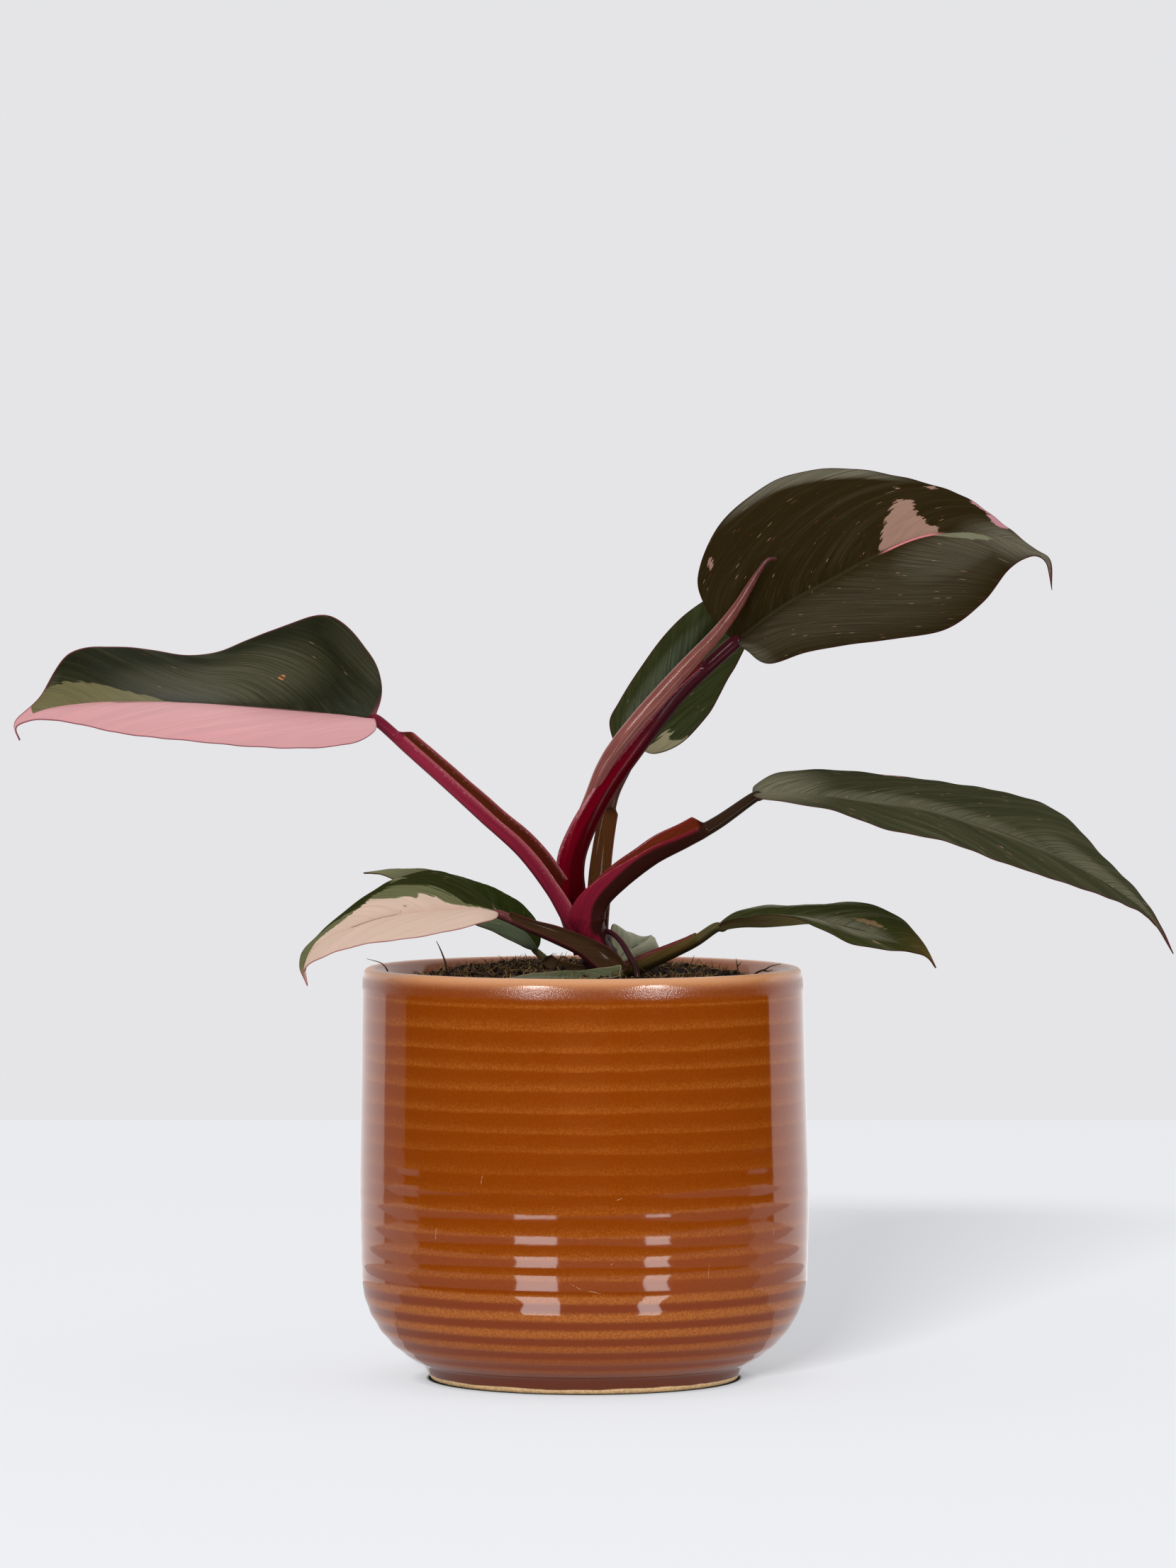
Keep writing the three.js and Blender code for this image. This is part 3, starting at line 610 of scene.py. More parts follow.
@dataclass
class Blade:
    """A leaf's blade: two arched halves that meet at a sunken midrib with a keel beneath.

    A station gives the midrib, the left margin and the right margin, seen from above the upper face and
    looking to the tip. swell is how far each half arches up, as a part of its width.
    """

    stations: tuple
    swell: Pair
    finish: LeafFinish
    olive: Areas = Areas()
    main: Areas = Areas()
    accent: Areas = Areas()
    thickness: float = 0.55
    keel: float = 1.0
    step: float = 0.7
    vein_pitch: float = 4.6
    ripple: float = 0.045
    seed: int = 1

    def lines(self) -> tuple[Curve, Curve, Curve]:
        """The midrib, the left margin and the right margin."""
        return tuple(Curve(tuple(s[k] if len(s) > k else s[0] for s in self.stations)) for k in range(3))

    def below(self, share: float, drop: float) -> Point:
        """A point under the midrib, at a share along the blade and a drop below its upper face."""
        rib, left, right = self.lines()
        at = np.array([share])
        up = unit(np.cross(right.at(at) - left.at(at), rib.tangent(at)))
        return tuple((rib.at(at) - up * drop)[0])

    @staticmethod
    def columns(width: float) -> Array:
        """The shares across at which a blade of this half width has points, closer by the edges."""
        half = np.linspace(0, 1, int(np.clip(width / 1.5, 9, 26)))[1:] ** 1.25
        half = np.unique(np.concatenate([half[:-1], [0.965, 0.99, 1.0]]))
        return np.concatenate([-half[::-1], [0], half])

    def skin(self) -> Skin:
        """The blade's closed skin, with its leaf, vein and zone marks."""
        rib, left, right = self.lines()
        along = np.linspace(0.004, 0.996, int(np.clip(rib.length / self.step, 40, 210)))
        middle, tangent = rib.at(along), rib.tangent(along)
        reaches = [curve.at(along) - middle for curve in (left, right)]
        width = max(np.linalg.norm(reach, axis=1).max() for reach in reaches)
        columns = self.columns(width)
        ups = [unit(np.cross(reach, tangent)) * way for reach, way in zip(reaches, (-1, 1))]
        reach, up = (np.where(columns[None, :, None] < 0, *(half[:, None] for half in halves))
                     for halves in (reaches, ups))
        size = np.linalg.norm(reach, axis=-1)
        share, across = np.broadcast_arrays(along[:, None], columns)
        tau = np.abs(across)
        arch = 4 * tau * (1 - tau) * np.where(columns < 0, *self.swell) * size
        sheet = middle[:, None] + reach * tau[..., None] + up * arch[..., None]
        normal = unit(np.cross(np.gradient(sheet, columns, axis=1), np.gradient(sheet, axis=0)))

        outward, edge = tau * size, (1 - tau) * size
        walked = np.broadcast_to(rib.length_at(along)[:, None], tau.shape)
        vein = walked - size * (0.7 * tau + 1.0 * tau**2)
        relief = self.relief(share, across, outward, walked, vein)
        thick = 0.5 * self.thickness * (1 - 0.35 * tau) * np.sqrt(np.clip(1 - tau**24, 0, 1))
        keel = self.keel * (1 - share) * np.exp(-(outward / 1.1) ** 2)
        upper = sheet + normal * (relief + thick)[..., None]
        lower = sheet + normal * (relief - thick - keel)[..., None]

        def ringed(above: Array, below: Array) -> Array:
            """The two faces as closed rings."""
            return np.concatenate([above, below[:, -2:0:-1]], axis=1)

        depths = stacked(*(areas.depth(share, across, rib.length, width)
                           for areas in (self.olive, self.main, self.accent)))
        veins = stacked(vein, outward, edge)
        marks = {
            "leaf": ringed(*(stacked(share, across, float(face.value)) for face in Sheet)),
            "vein": ringed(veins, veins),
            "zone": ringed(depths, depths),
        }
        return Skin.around(ringed(upper, lower), marks, tuple(rib.at(np.array([0.0, 1.0]))))

    def relief(self, share: Array, across: Array, outward: Array, walked: Array,
               vein: Array) -> Array:
        """How far the sheet stands up: a sunken midrib, veins, slow waves and a wavy margin.

        Args:
            share: shares along the blade.
            across: shares across it.
            outward: distances from the midrib.
            walked: lengths along the midrib.
            vein: the lengths at which the veins through each place leave the midrib.

        Returns:
            The height at each place.
        """
        tau, side = np.abs(across), np.sign(across)
        place = stacked(vein * 0.11, outward * 0.05 * side, float(self.seed))
        return (
            -0.5 * np.exp(-(outward / 1.0) ** 2) * smooth(1, 0.5, share)
            + self.ripple * np.cos(TURN * vein / self.vein_pitch) * smooth(0.5, 4, outward)
            * smooth(1.0, 0.75, tau)
            + 0.16 * noise(place, self.seed) * smooth(0, 8, outward)
            + 0.12 * tau**3 * np.sin(walked * 0.62 + 3 * side + self.seed)
        ) * smooth(0, 0.06, share) * smooth(1, 0.9, share)


# Stalks and rods

@dataclass(frozen=True)
class StalkFinish:
    """A stalk's colours: outside, its dark side, inside the channel, the wings' edges and the far end.

    inner_low is the channel's colour at its base. shade is from where to where, down a section, the dark
    side comes in; shade_grows moves it up along the stalk and shade_side to the right. sparkle is how
    strongly pale dashes of painted highlight lie along the wings' edges.
    """

    name: str
    outer: Colour
    dark: Colour
    inner: Colour
    rim: Colour
    far: Colour
    far_from: float = 0.7
    inner_low: Optional[Colour] = None
    shade: Pair = (0.0, 0.45)
    shade_grows: float = 0.0
    shade_side: float = 0.0
    painted_sparkle: float = 0.0
    painted_glint: Colour = tone(236, 196, 198)
    gloss: float = 0.35
    roughness: float = 0.45

    def material(self) -> Material:
        """The stalk's material."""
        shader = Shader(self.name)
        share, across, height = shader.mark("stalk").parts()
        along, girth, inside = shader.mark("skin").parts()
        streaks = shader.grain(girth * 2.2, along * 0.05, inside * 4, 4, 0.6)
        broad = shader.grain(girth * 0.5, along * 0.03, inside * 3)
        fine = shader.grain(girth * 7, along * 0.35, inside)
        blotch = shader.clouds(shader.place(), 0.35, 3)
        outer = shader.mix((streaks * 0.8 + broad * 0.6 - 0.2).step(0.2, 0.8),
                           times(self.outer, 0.7), times(self.outer, 1.3))
        inner = shader.mix(share.step(0.1, 0.7), self.inner_low or self.inner, self.inner)
        inner = shader.mix(streaks.step(0.7, 0.35) * 0.5, inner, times(self.inner, 0.4))
        shade = (height * -1 + across.most(0) * self.shade_side + (streaks - 0.5) * 0.35
                 + (share - 0.5) * self.shade_grows).step(*self.shade)
        # Painted highlight: noise dashes for the pale highlight painted along the upper edges of the wings
        painted_sparkle = shader.grain(girth * 1.2, along * 0.9, inside, 3, 0.7).step(0.56, 0.68)
        far = (share + (blotch - 0.5) * 0.12).step(self.far_from - 0.08, self.far_from + 0.12)
        aside = abs(across)
        colour = shader.paint(
            outer,
            (shade * 0.92, self.dark),
            (far, shader.mix(shade, self.far, times(self.far, 0.5))),
            (inside.step(0.3, 0.7), inner),
            (aside.step(0.86, 0.95) * height.step(0.6, 0.9) * (0.5 + broad * 0.5), self.rim),
            # Pale dashes of painted highlight along the wings' upper edges
            (aside.step(0.8, 0.9) * height.step(0.45, 0.8) * painted_sparkle * self.painted_sparkle, self.painted_glint),
            (streaks.step(0.66, 0.75) * 0.15, tuple(min(1, c * 2.0 + 0.02) for c in self.outer)))
        return shader.finish(
            Base_Color=colour, Roughness=self.roughness + (fine - 0.5) * 0.2,
            Normal=shader.bump(streaks * 0.7 + fine * 0.4, 0.12, 0.7), Specular_IOR_Level=0.0,
            Coat_Weight=self.gloss * (0.5 + fine), Coat_Roughness=0.11)


def rings_on(curve: Curve, share: Array, faces: Array, flat: Array) -> Array:
    """Flat sections placed square to a curve.

    Args:
        curve: the middle line.
        share: the shares along it.
        faces: for each, the way that the section's own +Y turns.
        flat: the sections, as shares x points x 2.

    Returns:
        The rings, as shares x points x 3.
    """
    tangent = curve.tangent(share)
    across = unit(np.cross(faces, tangent))
    up = np.cross(tangent, across)
    return curve.at(share)[:, None] + across[:, None] * flat[..., :1] + up[:, None] * flat[..., 1:2]


@dataclass
class Stalk:
    """A leaf's stalk: a channel between two wings that clasp the crown, then a round stalk.

    half and rise are how far the wings reach to each side and above the middle, end is the share at which
    they stop within a cut to each side, and faces is the way the channel opens, first at the base and then
    at the end. taper is how much the wings lose on the way, and opening the share over which they spread.
    """

    path: tuple[Point, ...]
    radius: tuple[float, ...]
    half: float
    rise: float
    end: float
    faces: tuple[Point, Point]
    finish: StalkFinish
    taper: float = 0.25
    opening: float = 0.2
    cut: float = 0.018
    step: float = 0.7
    outer_points: int = 41
    inner_points: int = 23
    seed: int = 1

    def skin(self, runout: tuple[Point, ...]) -> Skin:
        """The stalk's closed skin, with its stalk and skin marks.

        Args:
            runout: the points under the blade at which the stalk thins out.

        Returns:
            The skin.
        """
        curve = Curve(self.path + runout)
        reach = (len(curve.points) - 1) / (len(self.path) - 1)
        share = np.linspace(0, reach, int(np.clip(curve.length / self.step, 24, 170)))
        close = self.end + self.cut * np.linspace(-1.4, 1.4, 15)
        share = np.unique(np.concatenate([share, close[(close > 0) & (close < 1)]]))
        closed = smooth(self.end - self.cut, self.end + self.cut, share)
        winged = (0.6 + 0.4 * smooth(0, self.opening, share)) * (1 - closed)
        thick = spread(self.radius, share) * (1 - 0.85 * smooth(1, reach, share))
        taper = 1 - self.taper * share / self.end
        walked = curve.length_at(share / reach)
        wave = noise(stacked(walked * 0.12, 0.0, float(self.seed)), self.seed)
        half = np.maximum(self.half * taper, 1.1 * thick) * (1 + 0.04 * wave)
        rise = self.rise * taper * (1 + 0.06 * wave)
        flat = np.stack([self.section(*values) for values in zip(thick, winged, half, rise)])
        turned = np.minimum(share, 1)
        faces = np.outer(1 - turned, self.faces[0]) + np.outer(turned, self.faces[1])
        rings = rings_on(curve, share / reach, faces, flat)
        gaps = np.linalg.norm(np.diff(rings, axis=1, prepend=rings[:, :1]), axis=-1)
        inside = np.repeat((0.0, 1.0), (self.outer_points, self.inner_points))
        x, y = np.moveaxis(flat, -1, 0)
        marks = {
            "stalk": stacked(turned[:, None], x / half[:, None], y / np.maximum(rise, thick)[:, None]),
            "skin": stacked(walked[:, None], np.cumsum(gaps, axis=1), inside * winged[:, None]),
        }
        return Skin.around(rings, marks)

    def section(self, thick: float, winged: float, half: float, rise: float) -> Array:
        """One section, from the right wing's edge round below to the left one and back inside.

        Args:
            thick: the radius where it is round.
            winged: from 0, round, to 1, an open channel.
            half: the wings' reach to each side.
            rise: their rise above the middle.

        Returns:
            The section's points.
        """
        right_outer = [(half, rise), (0.97 * half, 0.45 * rise), (0.78 * half, -0.25 * thick),
                       (0.42 * half, -0.8 * thick), (0, -thick)]
        right_inner = [(0.93 * half, 0.97 * rise), (0.84 * half, 0.6 * rise), (0.66 * half, 0.2 * rise),
                       (0.36 * half, 0.0), (0, -0.1 * thick)]
        outer = Curve(tuple(right_outer + [(-x, y) for x, y in right_outer[-2::-1]]))
        inner = Curve(tuple([(-x, y) for x, y in right_inner] + right_inner[-2::-1]))
        open_section = np.vstack([outer.at(np.linspace(0, 1, self.outer_points)),
                                  inner.at(np.linspace(0, 1, self.inner_points))])
        angles = np.radians(np.concatenate([np.linspace(32, 328, self.outer_points),
                                            np.linspace(331, 389, self.inner_points)]))
        round_section = thick * np.stack([np.sin(angles), np.cos(angles)], axis=-1)
        return round_section + (open_section - round_section) * winged


@dataclass(frozen=True)
class RodFinish:
    """The finish of a round rod: stem, rolled leaf or root, from its base to its end."""

    name: str
    base: Colour
    middle: Colour
    end: Colour
    streak: Colour
    roughness: float
    coat: float = 0.0
    grain: float = 0.12

    def material(self) -> Material:
        """The rod's material."""
        shader = Shader(self.name)
        share, girth, _ = shader.mark("rod").parts()
        along, around, seam = shader.mark("skin").parts()
        streaks = shader.grain(around * 2.0, along * 0.06, girth, 4, 0.6)
        fine = shader.grain(around * 6, along * 0.5, detail=3)
        blotch = shader.clouds(shader.place(), 0.3, 3)
        colour = shader.ramp(share + (blotch - 0.5) * 0.2,
                             (0.0, self.base), (0.45, self.middle), (1.0, self.end))
        dark = shader.mix(1.0, colour, (0.6, 0.55, 0.55), "MULTIPLY")
        colour = shader.paint(
            colour,
            (streaks.step(0.35, 0.6), dark),
            (streaks.step(0.55, 0.72) * 0.5, self.streak),
            # Painted shade: a dark line along the overlapping edge of the rolled leaf
            (seam.step(0.4, 0.8) * 0.7, times(self.middle, 0.45)))
        return shader.finish(
            Base_Color=colour, Roughness=self.roughness + (fine - 0.5) * 0.25,
            Normal=shader.bump(streaks * 0.6 + fine * 0.5, self.grain, 0.8), Specular_IOR_Level=0.06,
            Coat_Weight=self.coat * (0.5 + fine), Coat_Roughness=0.12)


@dataclass
class Rod:
    """A round rod along a path, with rings, bumps or the overlapping edge of a rolled leaf."""

    path: tuple[Point, ...]
    radius: tuple[float, ...]
    finish: RodFinish
    faces: Point = (0.2, -1, 0.1)
    rings: tuple[float, ...] = ()
    ring_height: float = 0.5
    lumps: float = 0.02
    overlap: float = 0.0
    seam_turn: Pair = (0.0, 0.0)
    sides: int = 48
    step: float = 0.6
    seed: int = 1

    def skin(self) -> Skin:
        """The rod's closed skin, with its rod and skin marks."""
        curve = Curve(self.path)
        share = np.linspace(0, 1, int(np.clip(curve.length / self.step, 24, 200)))
        walked = curve.length_at(share)[:, None]
        size = spread(self.radius, share)
        for place in self.rings:
            size = size + self.ring_height * np.exp(-(((share - place) * curve.length) / 0.7) ** 2)
        size = size[:, None]
        turn = np.arange(self.sides) / self.sides
        angle = TURN * (turn + spread(self.seam_turn, share)[:, None])
        seam = np.clip(turn / 0.03, 0, 1) * (1 - turn)
        place = stacked(np.cos(angle) * 1.4, np.sin(angle) * 1.4, walked * 0.25)
        radius = size * (1 + self.overlap * (seam - 0.5)) * (1 + self.lumps * noise(place, self.seed))
        rings = rings_on(curve, share, np.tile(self.faces, (len(share), 1)),
                         stacked(radius * np.sin(angle), radius * np.cos(angle)))
        # shut marks where shade is painted along the overlapping edge, only on a rolled leaf
        shut = np.exp(-(((turn - 0.01) % 1.0) / 0.03) ** 2) * (self.overlap > 0)
        marks = {"rod": stacked(share[:, None] + 0 * radius, size, 0.0),
                 "skin": stacked(walked, TURN * turn * size, shut)}
        return Skin.around(rings, marks)


# Pot

@dataclass(frozen=True)
class GlazeFinish:
    """Caramel glaze: pale and speckled on the crests of the ribs, deep and clear in the valleys.

    peeled is the height at which an orange-peel surface starts, is full, fades and ends, dull_lip is from
    where to where the lip grows dull, and a scratch is a place, an angle and half a length.
    """

    valley: Colour = tone(127, 54, 3)
    crest: Colour = tone(153, 82, 24)
    low_valley: Colour = tone(118, 48, 7)
    low_crest: Colour = tone(164, 92, 32)
    lip: Colour = tone(216, 156, 110)
    within: Colour = tone(178, 118, 90)
    clay: Colour = tone(246, 202, 146)
    foot: Colour = tone(96, 42, 20)
    speck: Colour = tone(92, 40, 12)
    scratch: Colour = tone(200, 156, 120)
    peeled: tuple[float, ...] = (122.4, 124.8, 126.6, 128.4)
    dull_lip: Pair = (127.5, 129.5)
    scratches: tuple[tuple[float, ...], ...] = (
        (-45.8, 50.5, 86, 2.2), (-2.5, 35.6, -28, 2.4), (3.2, 34.0, -12, 2.4), (10.8, 62.5, 20, 1.3),
        (38.4, 39.3, 84, 2.4), (8.6, 42.6, 35, 0.9), (-31.5, 68, 80, 1.6), (59, 49.5, 80, 1.1))

    def material(self) -> Material:
        """The pot's material."""
        shader = Shader("caramel_glaze")
        crest, height, pale = shader.mark("glaze").parts()
        bare, band, inner = shader.mark("clay").parts()
        place = shader.place()
        flow = shader.clouds(shader.scaled(place, (0.05, 0.05, 0.02)), 1, 3)
        mottle = shader.clouds(place, 0.9, 4, 0.65)
        grain = shader.clouds(place, 1.5, 2, 0.6)
        speckle = grain.step(0.38, 0.66)
        pits = shader.specks(place, 1.3, 0.5, 0.3)
        shoulder = height.step(38, 28)
        wander = (mottle - 0.5) * 0.5 + (flow - 0.5) * 0.35
        line = (band + wander).step(0.3, 1.1) * (0.5 + speckle)
        upper = line * 0.4 + (band + wander).step(-0.1, 1.0) * 0.26 * (0.7 + speckle * 0.6)
        upper = upper * (0.5 + height.step(66, 100) * 0.5 + height.step(66, 56) * 0.5) + speckle * 0.13
        lower = (crest + (mottle - 0.5) * 0.5 + (grain - 0.5) * 0.7).step(-0.8, 1.0)
        lower = lower * (0.35 + height.step(9, 21) * 0.65) * (0.55 + speckle * 0.6)
        foot = (height + (flow - 0.5) * 2).step(8, 5)
        unglazed = (bare + (flow - 0.5) * 0.9).step(0.28, 0.48)
        colour = shader.paint(
            shader.mix(upper, self.valley, self.crest),
            (shoulder, shader.mix(lower, self.low_valley, self.low_crest)),
            (pits * (upper * 0.15 + shoulder * lower * 0.5), self.speck),
            (foot, shader.mix(mottle, self.foot, times(self.foot, 1.2))),
            ((pale + (mottle - 0.5) * 0.12).step(0.0, 1.0) * 0.95, self.lip),
            (inner, self.within),
            (self.scratched(shader, place) * 0.55, self.scratch),
            (unglazed, shader.mix(mottle.step(0.35, 0.6), times(self.clay, 0.7), self.clay)))
        start, full, fade, end = self.peeled
        peel = height.step(start, full) * height.step(end, fade) * (1 - inner)
        rough = 0.055 + grain * 0.03 + unglazed * 0.6 + peel * 0.17 + height.step(*self.dull_lip) * 0.3
        ripple = (shader.clouds(place, 0.3, 2) * 0.35 + grain * 0.05
                  + shader.clouds(place, 2.6, 1) * (peel * 2.6 + 0.06))
        return shader.finish(
            Base_Color=colour, Roughness=rough, Normal=shader.bump(ripple, 0.06, 0.5),
            Specular_IOR_Level=0.5, IOR=1.5)

    def scratched(self, shader: Shader, place: Signal) -> Signal:
        """The mask of the fine scratches on the front."""
        x, y, z = place.parts()
        front = y.step(1, -1)
        mask = front * 0
        for number, (middle_x, middle_z, angle, half) in enumerate(self.scratches):
            c, s = math.cos(math.radians(angle)), math.sin(math.radians(angle))
            along = (x - middle_x) * c + (z - middle_z) * s
            aside = (z - middle_z) * c - (x - middle_x) * s + along * along * (0.03 * (-1) ** number)
            mask = mask.most(abs(along).step(half, half * 0.6) * abs(aside).step(0.16, 0.04) * front)
        return mask * shader.clouds(place, 1.6, 1).step(0.35, 0.55)


class Row(NamedTuple):
    """A point of the pot's profile.

    out and lift are the shares of a rib's depth that widen it and raise it, and turn counts ribs from the
    first crest, or is NaN where there are none. The glaze reads clay, pale and inner.
    """

    radius: float
    z: float
    out: float = 0.0
    lift: float = 0.0
    turn: float = math.nan
    clay: float = 0.0
    pale: float = 0.0
    inner: float = 0.0


@dataclass
class Pot:
    """The ribbed pot: a flat foot, a rounded shoulder, a ribbed wall, a rounded lip and a glazed inside.

    walls, middles, throwing and depths are tables by height: the wall's radius, how far its middle leans
    to the side, how far a rib lies off its even place, and how deep a rib is. arc is the shoulder's reach
    and drop, foot has rows of radius, height and clay, and inside is its radius, floor and corner.
    """

    walls: Table = (
        (34, 70.5), (40, 70.66), (46, 70.8), (51, 70.88), (56, 70.91), (61, 70.9), (67, 70.83), (121.8, 69.7))
    middles: Table = ((0, 0.08), (53, 0.08), (126, -0.46))
    throwing: Table = (
        (34, 0.0), (38, -0.4), (44.5, -0.2), (51, -0.45), (57.5, -1.3), (64, -1.1), (70.5, -0.2), (77, -0.65),
        (83.5, 0.0), (90, 0.2), (96.4, -0.2), (103, 0.0), (109.4, 0.9), (116, 0.45), (122.4, 0.0))
    depths: Table = (
        (18, 0.1), (26, 0.08), (36, 0.063), (46.6, 0.043), (51, 0.044), (57.5, 0.058), (63, 0.034),
        (70, 0.015),
        (80, 0.006), (117, 0.006), (122, 0.0))
    arc: Pair = (32.5, 31.75)
    first_crest: float = 122.4
    pitch: float = 6.49
    wall_ribs: int = 14
    shoulder_first: float = 0.0757
    shoulder_pitch: float = 0.1822
    shoulder_ribs: int = 5
    shoulder_angles: Pair = (1.004, 0.02)
    foot: tuple[Point, ...] = (
        (0.0, 0.6, 1), (30, 0.6, 1), (43, 0.5, 1), (45, 0.0, 1), (47.8, 0.0, 1), (48.4, 0.2, 1),
        (48.8, 0.8, 0.8),
        (49.2, 1.4, 0.5), (49.6, 2.2, 0.1), (50.2, 3.3, 0), (50.8, 4.4, 0), (51.5, 5.0, 0), (52.6, 5.5, 0),
        (54.0, 6.1, 0))
    lip: Table = (
        (69.7, 122.4), (69.65, 124.0), (69.55, 125.5), (69.4, 127), (69.15, 128.3), (68.6, 129.35),
        (67.7, 129.9),
        (66.8, 130.0), (65.8, 129.8), (65.0, 129.0), (64.5, 127.6), (64.1, 125.5), (64.0, 123.6))
    lip_points: int = 44
    inside: tuple[float, float, float] = (64, 8, 25)
    inside_top: float = 122
    sides: int = 256
    per_rib: int = 11
    finish: GlazeFinish = GlazeFinish()

    def outline(self) -> list[Row]:
        """The profile from the middle of the underside round to the middle of the inner floor."""
        rows = [Row(radius, z, clay=clay) for radius, z, clay in self.foot]
        (shoulder_top, wall), *_, (wall_top, _) = self.walls
        reach, drop = self.arc
        for angle in np.linspace(*self.shoulder_angles, self.shoulder_ribs * self.per_rib):
            c, s = math.cos(angle), math.sin(angle)
            turn = (angle - self.shoulder_first) / self.shoulder_pitch
            rows.append(Row(wall - reach + reach * c, shoulder_top - drop * s, c, -s, turn))
        for z in np.linspace(shoulder_top, wall_top, self.wall_ribs * self.per_rib):
            turn = (z + read(self.throwing, z) - self.first_crest) / self.pitch
            rows.append(Row(read(self.walls, z), z, 1.0, 0.0, turn))
        shares = np.linspace(0, 1, self.lip_points)
        for share, (radius, z) in zip(shares, Curve(self.lip).at(shares)):
            pale = float(smooth(124.0, 131.2, z)) ** 1.2 if share < 0.6 else 1 - share * 0.4
            rows.append(Row(radius, z, pale=pale, inner=float(share > 0.68)))
        radius, floor, corner = self.inside
        rows += [Row(radius, z, pale=0.3, inner=1.0) for z in np.linspace(self.inside_top, floor + corner,
                                                                          12)]
        rows += [Row(radius - corner + corner * math.cos(a), floor + corner - corner * math.sin(a),
                     pale=0.2, inner=1.0) for a in np.linspace(0, math.pi / 2, 10)]
        return rows + [Row(0.0, floor, pale=0.2, inner=1.0)]

    def skin(self) -> Skin:
        """The pot's skin, with its glaze and clay marks."""
        radius, z, out, lift, turn, clay, pale, inner = np.array(self.outline()).T[..., None]
        angle = np.linspace(0, TURN, self.sides, endpoint=False)
        ribbed = ~np.isnan(turn)
        phase = np.where(ribbed, turn, 0)
        place = stacked(1.6 * np.cos(angle), 1.6 * np.sin(angle), phase * 0.9)
        sway = noise(place * 1.7, 5)
        wave = np.cos(TURN * (phase + 0.045 * sway))
        crest = np.sign(wave) * np.abs(wave) ** 0.85
        above = (phase + 0.12 + 0.06 * sway + 0.04 * noise(place * 7, 6)) % 1
        band = np.where(above > 0.86, (above - 0.86) / 0.14, np.clip(1 - above / 0.62, 0, 1))
        depth = read(self.depths, z) * crest * (1 + 0.5 * noise(place, 11))
        shift = ribbed * (depth + 0.03 * noise(place * 0.6, 3))
        wide, high = radius + shift * out, z + shift * lift
        rings = stacked(wide * np.cos(angle) + read(self.middles, high), wide * np.sin(angle), high)
        marks = {"glaze": stacked(np.where(ribbed, crest, 0.2), high, pale),
                 "clay": stacked(clay, np.where(ribbed, band, 0.3), inner)}
        # The first and the last row are the middles of the underside and of the floor inside
        ends = ((0, 0, float(z[0, 0])), (0, 0, float(z[-1, 0])))
        return Skin.around(rings[1:-1], {name: values[1:-1] for name, values in marks.items()}, ends)

    def build(self) -> Thing:
        """Makes the pot and gives it back."""
        return piece("ribbed_pot", self.skin(), self.finish.material(), ["pot"])


# Soil

@dataclass(frozen=True)
class EarthFinish:
    """Potting soil: dark fibre and bark, from near black to brown."""

    name: str = "potting_soil"
    dark: Colour = tone(20, 12, 8)
    brown: Colour = tone(66, 42, 26)
    straw: Colour = tone(140, 102, 62)

    def material(self) -> Material:
        """The soil's material."""
        shader = Shader(self.name)
        place = shader.place()
        chance, _, _ = shader.mark("crumb").parts()
        coarse = shader.clouds(place, 0.5, 4, 0.7)
        fine = shader.clouds(place, 3.0, 3, 0.6)
        colour = shader.paint(
            shader.mix((coarse * 0.6 + chance * 0.6).step(0.3, 0.95), self.dark, self.brown),
            (fine.step(0.62, 0.8) * 0.35, self.straw),
            (chance.step(0.93, 1.0) * 0.7, self.straw))
        return shader.finish(
            Base_Color=colour, Roughness=0.86 + fine * 0.1,
            Normal=shader.bump(coarse + fine * 0.6, 0.5, 0.9), Specular_IOR_Level=0.2)


@dataclass(frozen=True)
class StrandFinish:
    """Moss and dry fibre: each strand has its own green or straw brown."""

    name: str = "moss"
    green: Colour = tone(124, 98, 42)
    bright: Colour = tone(206, 172, 104)
    dry: Colour = tone(110, 64, 40)
    dead: Colour = tone(52, 34, 20)
    foot: Colour = tone(34, 24, 14)

    def material(self) -> Material:
        """The strands' material."""
        shader = Shader(self.name)
        chance, share, _ = shader.mark("crumb").parts()
        colour = shader.ramp(chance, (0.0, self.dead), (0.3, self.dry), (0.55, self.green),
                             (1.0, self.bright))
        colour = shader.mix(share.step(0.6, 0.0) * 0.8, colour, self.foot)
        return shader.finish(
            Base_Color=colour, Roughness=0.6 + shader.clouds(shader.place(), 2, 2) * 0.2,
            Specular_IOR_Level=0.3)


